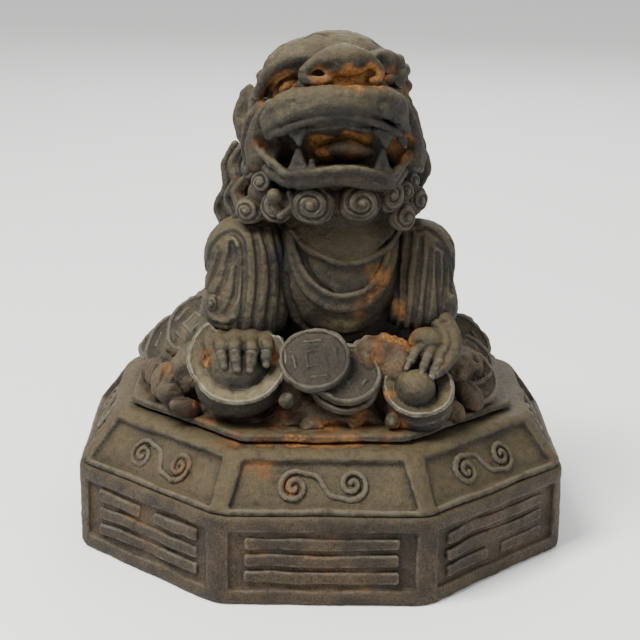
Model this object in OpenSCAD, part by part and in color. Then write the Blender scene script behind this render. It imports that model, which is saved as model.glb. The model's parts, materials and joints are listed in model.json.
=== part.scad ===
// Cast-iron guardian lion that treads on ingots and coins above a hollow eight-sided pedestal.
// Millimetres, +Z up. The origin is the centre of the pedestal's underside and the lion looks
// towards -Y. "Left" is the -X side, as seen by someone who faces the lion.

/* [Pedestal] */
// Distance between opposite flats at the foot
base_across = 120; // [112:1:128]
// Height of the upright wall
wall_height = 22; // [18:1:26]
// Height of the sloping band above the wall
slope_height = 13; // [11:1:16]
// Distance between opposite flats at the top of the sloping band
rim_across = 102; // [98:1:106]
// Thickness of the iron round the hollow
iron_thickness = 5; // [4:0.5:7]
// Distance between opposite flats of the raised terrace
terrace_across = 94; // [90:1:96]
// Height of the terrace above the sloping band
terrace_height = 2.5; // [1.5:0.5:4]
// Depth of the sunk panels
panel_depth = 1.2; // [0.6:0.2:1.8]

/* [Treasure] */
// Radius of a coin
coin_radius = 8.7; // [8:0.1:9.4]
// Thickness of a coin
coin_thickness = 2; // [1.6:0.1:2.6]
// Radius of the ingot under the left paw
left_ingot_radius = 11; // [10:0.5:12]
// Radius of the ingot under the right paw
right_ingot_radius = 8.5; // [8:0.5:9.5]
// Height of the rocky mound above the terrace
mound_height = 12; // [10:0.5:14]

/* [Lion] */
// Radius of the chest
chest_radius = 19; // [17:0.5:20]
// Radius of the left foreleg, which stands forward
left_foreleg_radius = 9.8; // [9:0.2:10.4]
// Radius of the right foreleg, which is drawn back
right_foreleg_radius = 7.8; // [7:0.2:8.6]
// Radius of each haunch
haunch_radius = 13; // [11:0.5:14]
// Degrees that the body is turned towards +X
body_turn = 8; // [0:1:12]

/* [Head] */
// Height of the middle of the skull above the terrace
head_height = 69.5; // [67:0.5:72]
// Radius of the skull
skull_radius = 17.5; // [16:0.5:18.5]
// Degrees that the face is raised
head_pitch = 28; // [18:1:34]
// Degrees that the face is turned towards +X
head_turn = 5; // [0:1:12]
// Length of a fang
fang_length = 6; // [4:0.5:7]

/* [Hidden] */

$fn = 48;
blend_facets = 20;
sides = 8;
left = -1;
right = 1;
seat = 0.6;                                    // how deep one casting mass is sunk into the next

rim_height = wall_height + slope_height;
ground = rim_height + terrace_height;
wall_side = base_across * tan(180 / sides);
slope_run = (base_across - rim_across) / 2;
slope_lean = atan(slope_run / slope_height);
slope_length = norm([slope_run, slope_height]);
slope_middle = (base_across + rim_across) / 4;

panel_margin = 3;
wall_panel = [wall_side - 2 * panel_margin, wall_height - 2.6 * panel_margin];
slope_panel_top = rim_across * tan(180 / sides) - 1.4 * panel_margin;
slope_panel_foot = wall_side - 2 * panel_margin;
slope_panel_height = slope_length - 1.4 * panel_margin;

bar_rows = 3;
bar_length = 36;
bar_height = 2.6;
bar_pitch = 4.2;
bar_gap = 5;
// One entry a side, counted anticlockwise from the front: 1 marks a row that is parted, from the top
parted_rows = [[0, 0, 0], [0, 0, 1], [1, 0, 1], [0, 1, 1], [1, 1, 1], [1, 1, 0], [0, 1, 0], [1, 0, 0]];

mound_foot_radius = 43;
mound_top_radius = 31;

head_at = [1.8, -14, head_height];
left_ingot_at = [-20.9, -38, 15];
left_ingot_tilt = [47, 0, 0];
right_ingot_at = [22.6, -38.5, 9.2];
right_ingot_tilt = [38, 0, 4];
left_paw_at = [-19.6, -36, 18];
right_paw_at = [25.2, -30, 16];

iron = [0.33, 0.31, 0.27];
dark_iron = [0.24, 0.23, 0.21];
dusty_iron = [0.47, 0.44, 0.34];
rusty_iron = [0.50, 0.31, 0.17];

// ---- Helpers ----

module octagon(across, height) {
  rotate([0, 0, 180 / sides])
    cylinder(d = across / cos(180 / sides), h = height, $fn = sides);
}

module tapered_octagon(foot_across, top_across, height) {
  rotate([0, 0, 180 / sides])
    cylinder(d1 = foot_across / cos(180 / sides), d2 = top_across / cos(180 / sides),
             h = height, $fn = sides);
}

// Repeats its children once a side, anticlockwise from the front, and says which side in $side
module each_side() {
  for ($side = [0 : sides - 1])
    rotate([0, 0, $side * 360 / sides])
      children();
}

module on_terrace(at = [0, 0, 0], tilt = [0, 0, 0]) {
  translate([at.x, at.y, ground + at.z])
    rotate(tilt)
      children();
}

module on_head() {
  on_terrace(head_at, [-head_pitch, 0, head_turn])
    children();
}

// A body part with one round end at each of two points
module limb(start, start_radius, end, end_radius) {
  hull() {
    translate(start) sphere(start_radius, $fn = blend_facets);
    translate(end) sphere(end_radius, $fn = blend_facets);
  }
}

// ---- Pedestal ----

module panel_outline(foot, top, height) {
  polygon([[-foot / 2, -height / 2], [foot / 2, -height / 2], [top / 2, height / 2],
           [-top / 2, height / 2]]);
}

module wall_panel_face() {
  translate([0, -base_across / 2, wall_height / 2])
    rotate([90, 0, 0])
      children();
}

module slope_panel_face() {
  translate([0, -slope_middle, wall_height + slope_height / 2])
    rotate([90 - slope_lean, 0, 0])
      children();
}

module pedestal_wall() {
  color(dark_iron)
    difference() {
      octagon(base_across, wall_height);
      translate([0, 0, -1])
        octagon(base_across - 2 * iron_thickness, wall_height + 2);
      each_side()
        wall_panel_face()
          translate([0, 0, -panel_depth])
            linear_extrude(panel_depth + 1)
              panel_outline(wall_panel.x, wall_panel.x, wall_panel.y);
    }
}

module pedestal_slope() {
  color(iron)
    translate([0, 0, wall_height])
      difference() {
        tapered_octagon(base_across, rim_across, slope_height);
        translate([0, 0, -0.01])
          tapered_octagon(base_across - 2 * iron_thickness, rim_across - 2 * iron_thickness,
                          slope_height - iron_thickness + 0.01);
        translate([0, 0, -wall_height])
          each_side()
            slope_panel_face()
              translate([0, 0, -panel_depth])
                linear_extrude(panel_depth + 1)
                  panel_outline(slope_panel_foot, slope_panel_top, slope_panel_height);
      }
}

module terrace_plate() {
  color(dusty_iron)
    translate([0, 0, rim_height])
      octagon(terrace_across, terrace_height);
}

// A raised bar on the floor of a wall panel
module wall_bar(length) {
  translate([-length / 2, -bar_height / 2, -panel_depth - seat])
    cube([length, bar_height, panel_depth + seat]);
}

module wall_bars() {
  color(iron)
    each_side()
      wall_panel_face()
        for (row = [0 : bar_rows - 1])
          translate([0, (1 - row) * bar_pitch, 0])
            if (parted_rows[$side][row] == 1)
              for (side = [left, right])
                translate([side * (bar_length + bar_gap) / 4, 0, 0])
                  wall_bar((bar_length - bar_gap) / 2);
            else
              wall_bar(bar_length);
}

// A ring with a bead in it on each sloping panel
module slope_scrolls() {
  ring_radius = 3.6;
  color(iron)
    each_side()
      slope_panel_face()
        translate([0, 0, -panel_depth]) {
          rotate_extrude()
            translate([ring_radius, 0])
              circle(r = 0.8);
          sphere(r = 1.4);
        }
}

// ---- Treasure ----

module coin(at, tilt) {
  on_terrace(at, tilt)
    difference() {
      cylinder(r = coin_radius, h = coin_thickness, center = true);
      translate([0, 0, coin_thickness / 2 - 0.4])
        cylinder(r = coin_radius - 1, h = 1);
    }
}

// A dish with a raised rim; its floor is at the middle of the rim's height
module ingot_dish(radius, at, tilt) {
  rim_width = 1.2;
  depth = 5;
  on_terrace(at, tilt)
    rotate_extrude()
      polygon([[0, -depth], [0.62 * radius, -depth], [radius, -1.2], [radius, 0.6],
               [radius - rim_width, 0.6], [radius - rim_width - 1, -0.6], [0, -0.6]]);
}

module rock_mound() {
  color(rusty_iron)
    on_terrace([0, 0, -seat])
      cylinder(r1 = mound_foot_radius, r2 = mound_top_radius, h = mound_height + seat);
}

// Boulders at one side of the mound: [x, y, z, radius] of each above the terrace
module boulders(spots) {
  color(rusty_iron)
    for (spot = spots)
      on_terrace([spot.x, spot.y, spot.z])
        sphere(spot[3]);
}

module left_rocks() {
  boulders([[-39, -19, 3.5, 4.6], [-33.5, -29, 4, 4.8], [-43, -7, 2.5, 3.8], [-31, -33, 1.2, 3.4]]);
}

module right_rocks() {
  boulders([[36, -25, 2, 4.2], [39.5, -13, 2.5, 4.2], [30, -34, 0.8, 3.4], [42, 3, 2, 3.6]]);
}

module front_coin_top() {
  color(iron) coin([-2, -38, 15.6], [40, 0, -4]);
}

module front_coin_middle() {
  color(iron) coin([5.1, -38.2, 12.2], [38, 0, 8]);
}

module front_coin_bottom() {
  color(iron) coin([5, -37.4, 9.8], [38, 0, 8]);
}

module left_coin_upper() {
  color(dusty_iron) coin([-32, -6, 15], [28, -40, 0]);
}

module left_coin_lower() {
  color(dusty_iron) coin([-37.5, -4, 9.5], [28, -36, 0]);
}

module left_coin_back() {
  color(dusty_iron) coin([-35, 6, 14], [-6, -46, 0]);
}

module left_coin_tip() {
  color(dusty_iron) coin([-40, 7, 7], [10, -30, 0]);
}

module right_coin_upper() {
  color(iron) coin([34.5, -11, 12], [34, 26, 0]);
}

module right_coin_middle() {
  color(iron) coin([35, -15.5, 8.8], [30, 20, 0]);
}

module right_coin_lower() {
  color(iron) coin([35.5, -20, 5.6], [32, 18, 0]);
}

module right_coin_edge() {
  color(iron) coin([31, 2, 12], [0, 50, 0]);
}

// Coins that lean on the back of the mound, spread evenly along an arc
module rear_coins() {
  rear_count = 5;
  rear_radius = 35;
  color(iron)
    for (i = [0 : rear_count - 1]) {
      bearing = 30 + i * 120 / (rear_count - 1);
      coin([rear_radius * cos(bearing), rear_radius * sin(bearing), 7.5], [0, 38, bearing]);
    }
}

module left_ingot_dish() {
  color(dusty_iron)
    ingot_dish(left_ingot_radius, left_ingot_at, left_ingot_tilt);
}

module left_ingot_dome() {
  dome_radius = 7.2;
  color(iron)
    on_terrace(left_ingot_at, left_ingot_tilt)
      intersection() {
        translate([0, 0, -3]) sphere(dome_radius);
        translate([0, 0, -0.6 - seat]) cylinder(r = dome_radius, h = dome_radius);
      }
}

module right_ingot_dish() {
  color(iron)
    ingot_dish(right_ingot_radius, right_ingot_at, right_ingot_tilt);
}

module right_ball() {
  color(iron)
    on_terrace(right_ingot_at, right_ingot_tilt)
      translate([-0.6, 0, 2]) sphere(4.2);
}

module pearls() {
  pearl_radius = 1.9;
  color(iron)
    for (spot = [[-8.6, -42.6, 7], [16.4, -43, 2.4]])
      on_terrace(spot)
        sphere(pearl_radius);
}

// ---- Body ----

module on_body() {
  on_terrace([3, -12, 0], [0, 0, body_turn])
    children();
}

module torso() {
  color(iron)
    on_body() {
      limb([0, 2, 33], chest_radius, [0, 32, 23], 17);
      limb([0, 4, 30], chest_radius, [0, 6, 14], 17);
    }
}

module neck() {
  color(iron)
    on_terrace()
      limb([2.5, -10, 44], 15, [1.5, -8, 58], 15.5);
}

// A raised strip that lies round the chest, bent from a ring
module chest_strip(height, ring_radius, strip_radius, lean) {
  on_body()
    translate([0, 3, height])
      rotate([lean, 0, 0])
        rotate_extrude()
          translate([ring_radius, 0])
            circle(r = strip_radius);
}

module chest_collar() {
  color(iron)
    chest_strip(38, chest_radius + 0.1, 1.6, 12);
}

module chest_band() {
  color(iron)
    chest_strip(31, chest_radius + 0.1, 1.6, 26);
}

module haunch(side) {
  color(iron)
    on_body()
      limb([side * 15, 32, 17], haunch_radius, [side * 19, 18, 12], haunch_radius - 3);
}

module left_haunch() haunch(left);

module right_haunch() haunch(right);

module hind_paw(side) {
  color(iron)
    on_body()
      limb([side * 22, 16, 4], 5, [side * 23, 4, 3.2], 4.2);
}

module left_hind_paw() hind_paw(left);

module right_hind_paw() hind_paw(right);

module left_foreleg() {
  color(iron)
    on_terrace()
      limb([-19.2, -23, 27], left_foreleg_radius, [-18.4, -18, 35.5], left_foreleg_radius);
}

module right_foreleg() {
  color(iron)
    on_terrace()
      limb([24.4, -19, 26], right_foreleg_radius, [24, -14, 35], right_foreleg_radius);
}

// A paw of four toes side by side, each hulled from its knuckle to its tip
module paw(at, tilt, toe_radius, toe_reach) {
  toes = 4;
  color(iron)
    on_terrace(at, tilt)
      for (i = [0 : toes - 1]) {
        across = (i - (toes - 1) / 2) * toe_radius * 1.55;
        limb([across, 4, 1], toe_radius * 1.15, [across * 1.15, -toe_reach, -1.5], toe_radius);
      }
}

module left_paw() paw(left_paw_at, [0, 0, 0], 2.2, 3.2);

module right_paw() paw(right_paw_at, [0, 0, -14], 1.9, 3.4);

// The claws in front of a paw's toes
module claws(at, tilt, toe_radius, toe_reach) {
  toes = 4;
  color(dusty_iron)
    on_terrace(at, tilt)
      for (i = [0 : toes - 1]) {
        across = (i - (toes - 1) / 2) * toe_radius * 1.8;
        translate([across, -toe_reach - 1.2, -1.5])
          rotate([14, 0, 0])
            cylinder(r1 = 0.7, r2 = 1.2, h = 4.4, center = true);
      }
}

module left_claws() claws(left_paw_at, [0, 0, 0], 2.2, 3.2);

module right_claws() claws(right_paw_at, [0, 0, -14], 1.9, 3.4);

// The fluted wing that sweeps back from a shoulder
module wing(side) {
  color(iron)
    on_body()
      limb([side * 20, 0, 33], 7, [side * 19, 26, 31], 4);
}

module left_wing() wing(left);

module right_wing() wing(right);

module tail() {
  color(iron)
    on_body() {
      limb([0, 44, 12], 6.5, [0, 47, 30], 5);
      limb([0, 47, 30], 5, [0, 41, 43], 3);
    }
}

// ---- Head ----

module on_both_sides() {
  for (side = [left, right])
    if (side == right)
      children();
    else
      mirror([1, 0, 0])
        children();
}

// A broad dome: the skull itself and the two corners of the forehead
module skull() {
  color(iron)
    on_head()
      hull() {
        translate([0, -2, 1.4]) sphere(skull_radius, $fn = 32);
        for (side = [left, right])
          translate([side * 6, -6, 5]) sphere(12, $fn = blend_facets);
      }
}

// A round-fronted jaw: its half width, where its corners are, how far its front reaches past them,
// its roundness, and the heights of the corners and, from there, of the front
module jaw_arc(half_width, corner_forward, reach, roundness, corner_height, front_rise) {
  hull()
    for (bearing = [-90 : 22.5 : 90])
      translate([half_width * sin(bearing), -corner_forward - reach * cos(bearing),
                 corner_height + front_rise * cos(bearing)])
        sphere(roundness, $fn = blend_facets);
}

module upper_jaw() {
  color(iron)
    on_head()
      jaw_arc(13.2, 11.5, 13, 4.2, 0.4, -3.2);
}

module nose() {
  color(iron)
    on_head() {
      translate([0, -22, 3.4]) sphere(5.2);
      on_both_sides()
        translate([6, -20.6, 2]) sphere(3);
    }
}

module lower_jaw() {
  color(iron)
    on_head()
      jaw_arc(15, 0, 12.5, 3.6, -9.5, -9);
}

module tongue() {
  color(rusty_iron)
    on_head()
      limb([0, -4, -11], 4, [0, -13.5, -13.6], 3);
}

// A row of fangs: one at each side, and its point towards drop
module fang_pair(spread, forward, root_height, drop) {
  color(dusty_iron)
    on_head()
      on_both_sides()
        translate([spread, -forward, root_height])
          rotate([drop < 0 ? 180 : 0, 0, 0])
            cylinder(r1 = 2, r2 = 0.8, h = fang_length);
}

module upper_fangs() fang_pair(9.5, 19, -6, -1);

module lower_fangs() fang_pair(9.9, 13.5, -18.6, 1);

module brow(side) {
  color(iron)
    on_head()
      limb([side * 7, -17.5, 7.5], 3.4, [side * 15.5, -8, 4], 3.2);
}

module left_brow() brow(left);

module right_brow() brow(right);

module eyes() {
  color(dark_iron)
    on_head()
      on_both_sides()
        translate([9.5, -16, 2.6]) sphere(2.6);
}

module ear(top, tip) {
  color(iron)
    on_head()
      limb(top, 4, tip, 3);
}

module left_ear() ear([-18.5, 12, 9], [-19, 15, 1]);

// The right ear lies closer to the head
module right_ear() ear([14, 14, 8], [15, 17, 0]);

// ---- Beard and mane: [x, y, z, radius] of each curl above the terrace ----

module curls(spots) {
  color(iron)
    for (spot = spots)
      on_terrace([spot.x, spot.y, spot.z])
        sphere(spot[3]);
}

module beard_curls() {
  curls([[-14.7, -25, 56.5, 3.2], [-11.2, -28.5, 52, 4], [-17.6, -22, 49, 3.4], [-3.4, -31.5, 52.6, 4.6],
         [7.8, -31.5, 53.2, 4.5], [15.2, -27.5, 53, 3.8], [18.8, -23, 47.2, 3.4]]);
}

module left_mane() {
  curls([[-15.5, -11, 57, 5.2], [-18.5, -7, 51, 5], [-22, -1, 44, 5.6]]);
}

module right_mane() {
  curls([[19.5, -15, 56, 4.6], [21.5, -9, 48.5, 4.8], [20, -1, 52, 5.4]]);
}

module back_mane() {
  curls([[-10, 6, 60, 8], [3, 10, 57, 9], [15, 6, 60, 8], [-4, 14, 48, 8], [9, 14, 48, 8]]);
}

pedestal_wall();
pedestal_slope();
terrace_plate();
wall_bars();
slope_scrolls();
rock_mound();
left_rocks();
right_rocks();
front_coin_top();
front_coin_middle();
front_coin_bottom();
left_coin_upper();
left_coin_lower();
left_coin_back();
left_coin_tip();
right_coin_upper();
right_coin_middle();
right_coin_lower();
right_coin_edge();
rear_coins();
left_ingot_dish();
left_ingot_dome();
right_ingot_dish();
right_ball();
pearls();
torso();
chest_collar();
chest_band();
neck();
left_haunch();
right_haunch();
left_hind_paw();
right_hind_paw();
left_foreleg();
right_foreleg();
left_paw();
right_paw();
left_claws();
right_claws();
left_wing();
right_wing();
skull();
upper_jaw();
nose();
lower_jaw();
tongue();
upper_fangs();
lower_fangs();
left_brow();
right_brow();
eyes();
left_ear();
right_ear();
beard_curls();
left_mane();
right_mane();
back_mane();
tail();
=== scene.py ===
"""A guardian lion of old cast iron on an eight-sided pedestal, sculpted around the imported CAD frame.

Every piece is a closed mesh, drawn as the zero level of a distance function. The functions work in
millimetres, in the frame's own axes: +Z up, the lion looks towards -Y, and "left" is the -X side.
"""

import json
import math
from concurrent.futures import ThreadPoolExecutor

import bpy
import numpy as np
from mathutils import Matrix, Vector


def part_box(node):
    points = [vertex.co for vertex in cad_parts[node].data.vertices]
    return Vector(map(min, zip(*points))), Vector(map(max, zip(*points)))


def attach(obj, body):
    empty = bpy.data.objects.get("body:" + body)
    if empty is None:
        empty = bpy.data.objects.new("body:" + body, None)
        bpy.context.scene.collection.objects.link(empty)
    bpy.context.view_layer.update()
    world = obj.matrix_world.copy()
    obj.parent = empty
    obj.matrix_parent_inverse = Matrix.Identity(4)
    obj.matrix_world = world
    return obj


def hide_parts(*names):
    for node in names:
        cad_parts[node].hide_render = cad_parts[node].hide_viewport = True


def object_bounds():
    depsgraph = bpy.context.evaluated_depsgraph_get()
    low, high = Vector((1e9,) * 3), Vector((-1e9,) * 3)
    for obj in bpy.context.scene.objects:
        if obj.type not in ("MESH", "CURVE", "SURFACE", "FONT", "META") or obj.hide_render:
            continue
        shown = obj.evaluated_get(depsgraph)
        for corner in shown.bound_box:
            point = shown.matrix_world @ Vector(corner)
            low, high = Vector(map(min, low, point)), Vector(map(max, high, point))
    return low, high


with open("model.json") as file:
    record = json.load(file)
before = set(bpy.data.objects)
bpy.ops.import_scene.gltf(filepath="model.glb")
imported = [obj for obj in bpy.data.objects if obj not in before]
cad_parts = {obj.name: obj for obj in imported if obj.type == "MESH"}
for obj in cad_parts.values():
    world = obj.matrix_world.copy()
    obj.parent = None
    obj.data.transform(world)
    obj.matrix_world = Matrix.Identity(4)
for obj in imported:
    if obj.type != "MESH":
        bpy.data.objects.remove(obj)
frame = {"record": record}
cad_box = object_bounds()

MM = 0.001
FINE = 1.0
WORKERS = 4                                # pieces that are sculpted at the same time
slot_of = {part["node"]: part["material_slot"] for part in frame["record"]["subparts"]}


# ---------------------------------------------------------------- vectors and places

def vec(*numbers):
    """A point or a direction as float32."""
    return np.array(numbers[0] if len(numbers) == 1 else numbers, np.float32)


def length(rows):
    """The length of each row."""
    return np.sqrt(np.einsum("ij,ij->i", rows, rows))


def unit(direction):
    """The direction at length 1."""
    return vec(direction) / np.linalg.norm(direction)


def box(node):
    """Lowest and highest corner of a CAD node, in millimetres."""
    low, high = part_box(node)
    return vec(low) / MM, vec(high) / MM


def middle(node):
    """The middle of a CAD node's box, in millimetres."""
    low, high = box(node)
    return (low + high) / 2


def turned(degrees_x, degrees_y, degrees_z):
    """The matrix that turns about X, then Y, then Z."""
    about = [Matrix.Rotation(math.radians(a), 3, axis)
             for a, axis in ((degrees_z, "Z"), (degrees_y, "Y"), (degrees_x, "X"))]
    return np.array(about[0] @ about[1] @ about[2], np.float32)


class Place:
    """A point with its own x, y and z directions."""

    def __init__(self, at, turn=(0, 0, 0), axes=None):
        self.at = vec(at)
        self.axes = turned(*turn) if axes is None else np.array(axes, np.float32).T

    def inside(self, points):
        """Points of the frame in this place's own directions."""
        return (points - self.at) @ self.axes

    def outside(self, points):
        """Points in this place's own directions, back in the frame."""
        return vec(points) @ self.axes.T + self.at


def facing(at, normal, spin=0.0):
    """A place whose z direction is the normal and whose y direction is as upright as it can be."""
    z = unit(normal)
    x = unit(np.cross((0, 0, 1), z))
    y = np.cross(z, x)
    a = math.radians(spin)
    return Place(at, axes=(x * math.cos(a) + y * math.sin(a), y * math.cos(a) - x * math.sin(a), z))


# ---------------------------------------------------------------- noise

def lattice(i, j, k, seed):
    """A repeatable random number from 0 to 1 at each whole-numbered point."""
    mixed = i * 73856093 ^ j * 19349663 ^ k * 83492791 ^ seed * 2654435761
    mixed = (mixed ^ (mixed >> 13)) * 1274126177 & 0xFFFFFFFF
    mixed = (mixed ^ (mixed >> 16)) & 0xFFFFFFFF
    return (mixed / 4294967295.0).astype(np.float32)


def noise(points, cell, seed):
    """Smooth noise from -1 to 1 with lumps about one cell across."""
    scaled = points / cell
    whole = np.floor(scaled).astype(np.int64)
    part = (scaled - whole).astype(np.float32)
    part = part * part * (3 - 2 * part)
    total = np.zeros(len(points), np.float32)
    for dx in (0, 1):
        wx = part[:, 0] if dx else 1 - part[:, 0]
        for dy in (0, 1):
            wy = part[:, 1] if dy else 1 - part[:, 1]
            for dz in (0, 1):
                wz = part[:, 2] if dz else 1 - part[:, 2]
                total += wx * wy * wz * lattice(whole[:, 0] + dx, whole[:, 1] + dy, whole[:, 2] + dz, seed)
    return 2 * total - 1


# ---------------------------------------------------------------- distance functions

def soft_min(a, b, k):
    """The smaller of two distances, blended over a width k where they are nearly equal."""
    if k <= 0:
        return np.minimum(a, b)
    meet = np.maximum(k - np.abs(a - b), 0) / k
    return np.minimum(a, b) - meet * meet * k / 4


def soft_max(a, b, k):
    """The larger of two distances, blended over a width k where they are nearly equal."""
    return -soft_min(-a, -b, k)


def join(*shapes, k=0.0):
    """All the shapes as one, with a fillet about k wide where they meet."""
    def distance(p):
        d = shapes[0](p)
        for shape in shapes[1:]:
            d = soft_min(d, shape(p), k)
        return d
    return distance


def cut(shape, *tools, k=0.0):
    """The shape less the tools, with edges rounded by about k."""
    def distance(p):
        d = shape(p)
        for tool in tools:
            d = soft_max(d, -tool(p), k)
        return d
    return distance


def common(*shapes, k=0.0):
    """What all the shapes share, with edges rounded by about k."""
    def distance(p):
        d = shapes[0](p)
        for shape in shapes[1:]:
            d = soft_max(d, shape(p), k)
        return d
    return distance


def grown(shape, by):
    """The shape made larger on all sides."""
    return lambda p: shape(p) - by


def seated(shape, base, k):
    """The shape with a fillet of its own where it stands on the base."""
    def distance(p):
        own = shape(p)
        return np.maximum(soft_min(own, base(p), k), own - 0.7 * k)
    return distance


def near(shape, at, reach, far=2.5):
    """The same shape, worked out only close to the ball that holds it."""
    at = vec(at)

    def distance(p):
        gap = length(p - at) - reach
        out = np.maximum(gap, far)
        close = gap < far
        if close.any():
            out[close] = shape(p[close])
        return out
    return distance


def ball(at, radius):
    """A sphere."""
    at = vec(at)
    return lambda p: length(p - at) - radius


def egg(at, radii, turn=(0, 0, 0), place=None):
    """An ellipsoid."""
    place = place or Place(at, turn)
    radii = vec(radii)

    def distance(p):
        q = place.inside(p)
        outer = length(q / radii)
        inner = length(q / (radii * radii)) + 1e-6
        return outer * (outer - 1) / inner
    return distance


def limb(start, end, start_radius, end_radius):
    """A round bar between two points."""
    start, end = vec(start), vec(end)
    way = end - start
    span = float(way @ way) + 1e-9

    def distance(p):
        q = p - start
        t = np.clip(q @ way / span, 0, 1)
        return length(q - t[:, None] * way) - (start_radius + (end_radius - start_radius) * t)
    return distance


def curve(points, steps=6):
    """A smooth curve through the points: a Catmull-Rom spline."""
    points = np.array(points, float)
    padded = np.vstack((2 * points[0] - points[1], points, 2 * points[-1] - points[-2]))
    out = []
    for i in range(1, len(padded) - 2):
        a, b, c, d = padded[i - 1:i + 3]
        for t in np.arange(steps) / steps:
            out.append(0.5 * (2 * b + (c - a) * t + (2 * a - 5 * b + 4 * c - d) * t ** 2
                              + (3 * b - a - 3 * c + d) * t ** 3))
    out.append(points[-1])
    return np.array(out)


def strand(points, radii, steps=6):
    """A round strand along a smooth curve; radii are given for the first and last point, or for each."""
    path = curve(points, steps)
    given = np.full(2, radii, float) if np.ndim(radii) == 0 else np.array(radii, float)
    width = np.interp(np.linspace(0, 1, len(path)), np.linspace(0, 1, len(given)), given)
    bars = [limb(path[i], path[i + 1], width[i], width[i + 1]) for i in range(len(path) - 1)]
    centre = (path.min(0) + path.max(0)) / 2
    reach = float(np.linalg.norm(path - centre, axis=1).max() + width.max())
    return near(join(*bars), centre, reach)


def lathe(place, profile):
    """A turned shape: profile(radius, height) is a distance in the plane through the axis."""
    def distance(p):
        q = place.inside(p)
        return profile(np.hypot(q[:, 0], q[:, 1]), q[:, 2])
    return distance


def flat_ring(radius, half_height, rounding):
    """The profile of a disc for lathe()."""
    def profile(r, h):
        dr, dh = r - radius + rounding, np.abs(h) - half_height + rounding
        return np.hypot(np.maximum(dr, 0), np.maximum(dh, 0)) + np.minimum(np.maximum(dr, dh), 0) - rounding
    return profile


def octagon(p, across):
    """Distance from an upright eight-sided bar, with flats on the X and Y axes."""
    x, y = np.abs(p[:, 0]), np.abs(p[:, 1])
    return np.maximum(np.maximum(x, y), (x + y) * math.sqrt(0.5)) - across / 2


def land(points, shape, way=(0, 1, 0), start=70.0):
    """Slides each point along a direction until it lies on the shape."""
    way = unit(way)
    p = np.array(points, np.float32) - start * way
    for _ in range(60):
        p = p + np.clip(shape(p), -1.5, 4.0)[:, None] * 0.8 * way
    return p


# ---------------------------------------------------------------- from distance to mesh

CELL_CORNERS = [(i, j, k) for i in (0, 1) for j in (0, 1) for k in (0, 1)]
CELL_EDGES = [(a, b) for a in range(8) for b in range(a + 1, 8)
              if sum(x != y for x, y in zip(CELL_CORNERS[a], CELL_CORNERS[b])) == 1]
BLOCK = 8                                  # samples along each side of a block
CHUNK = 60000                              # points worked out at one go


def in_chunks(shape, points):
    """The shape's distance at every point, worked out a part at a time to save memory."""
    parts = [shape(points[i:i + CHUNK]) for i in range(0, len(points), CHUNK)]
    return np.concatenate(parts) if parts else np.zeros(0, np.float32)


def sample(shape, low, high, voxel):
    """Distances on a grid, worked out only in the blocks that the surface can pass through."""
    blocks = np.maximum(np.ceil((high - low) / (voxel * BLOCK)).astype(int), 1)
    centres = np.stack(np.meshgrid(*[np.arange(n) for n in blocks], indexing="ij"), -1).reshape(-1, 3)
    rough = in_chunks(shape, low + (centres.astype(np.float32) * BLOCK + (BLOCK - 1) / 2) * voxel)
    live = np.abs(rough) < BLOCK * voxel * 1.5
    values = np.repeat(np.where(rough > 0, 9.0, -9.0).astype(np.float32)[:, None], BLOCK ** 3, axis=1)
    steps = np.stack(np.meshgrid(*[np.arange(BLOCK)] * 3, indexing="ij"), -1).reshape(-1, 3)
    corners = centres[live] * BLOCK
    points = low + (corners[:, None, :] + steps[None]).reshape(-1, 3).astype(np.float32) * voxel
    values[live] = in_chunks(shape, points).reshape(-1, BLOCK ** 3)
    grid = values.reshape(*blocks, BLOCK, BLOCK, BLOCK).transpose(0, 3, 1, 4, 2, 5)
    return grid.reshape(blocks * BLOCK)


def nets(grid, low, voxel):
    """Vertices and four-sided faces of the zero level: one vertex in each cell that it passes through."""
    solid = grid < 0
    shape = np.array(grid.shape) - 1
    count = np.zeros(shape, np.int8)
    for i, j, k in CELL_CORNERS:
        count += solid[i:i + shape[0], j:j + shape[1], k:k + shape[2]]
    cells = np.argwhere((count > 0) & (count < 8))
    number = np.full(shape, -1, np.int64)
    number[tuple(cells.T)] = np.arange(len(cells))
    corner = np.array([grid[tuple((cells + c).T)] for c in CELL_CORNERS])
    total, hits = np.zeros((len(cells), 3), np.float32), np.zeros(len(cells), np.float32)
    for a, b in CELL_EDGES:
        crossed = (corner[a] < 0) != (corner[b] < 0)
        t = np.where(crossed, corner[a] / np.where(crossed, corner[a] - corner[b], 1), 0)
        at = vec(CELL_CORNERS[a]) + t[:, None] * (vec(CELL_CORNERS[b]) - vec(CELL_CORNERS[a]))
        total += at * crossed[:, None]
        hits += crossed
    vertices = low + (cells + total / hits[:, None]) * voxel
    faces = []
    for axis in range(3):
        u, v = (axis + 1) % 3, (axis + 2) % 3
        ahead = [slice(None)] * 3
        ahead[axis] = slice(1, None)
        behind = [slice(None)] * 3
        behind[axis] = slice(None, -1)
        first, second = solid[tuple(behind)], solid[tuple(ahead)]
        edges = np.argwhere(first != second)
        edges = edges[(edges[:, u] > 0) & (edges[:, v] > 0)
                      & (edges[:, u] < shape[u]) & (edges[:, v] < shape[v])]
        inward = first[tuple(edges.T)]
        ring = []
        for du, dv in ((-1, -1), (0, -1), (0, 0), (-1, 0)):
            cell = edges.copy()
            cell[:, u] += du
            cell[:, v] += dv
            ring.append(number[tuple(cell.T)])
        ring = np.array(ring).T
        ring[~inward] = ring[~inward][:, ::-1]
        faces.append(ring)
    return vertices.astype(np.float32), np.vstack(faces)


def slopes(shape, points, step):
    """Distance and its gradient at each point."""
    here = in_chunks(shape, points)
    out = []
    for axis in range(3):
        moved = points.copy()
        moved[:, axis] += step
        out.append((in_chunks(shape, moved) - here) / step)
    return here, np.array(out).T


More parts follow.
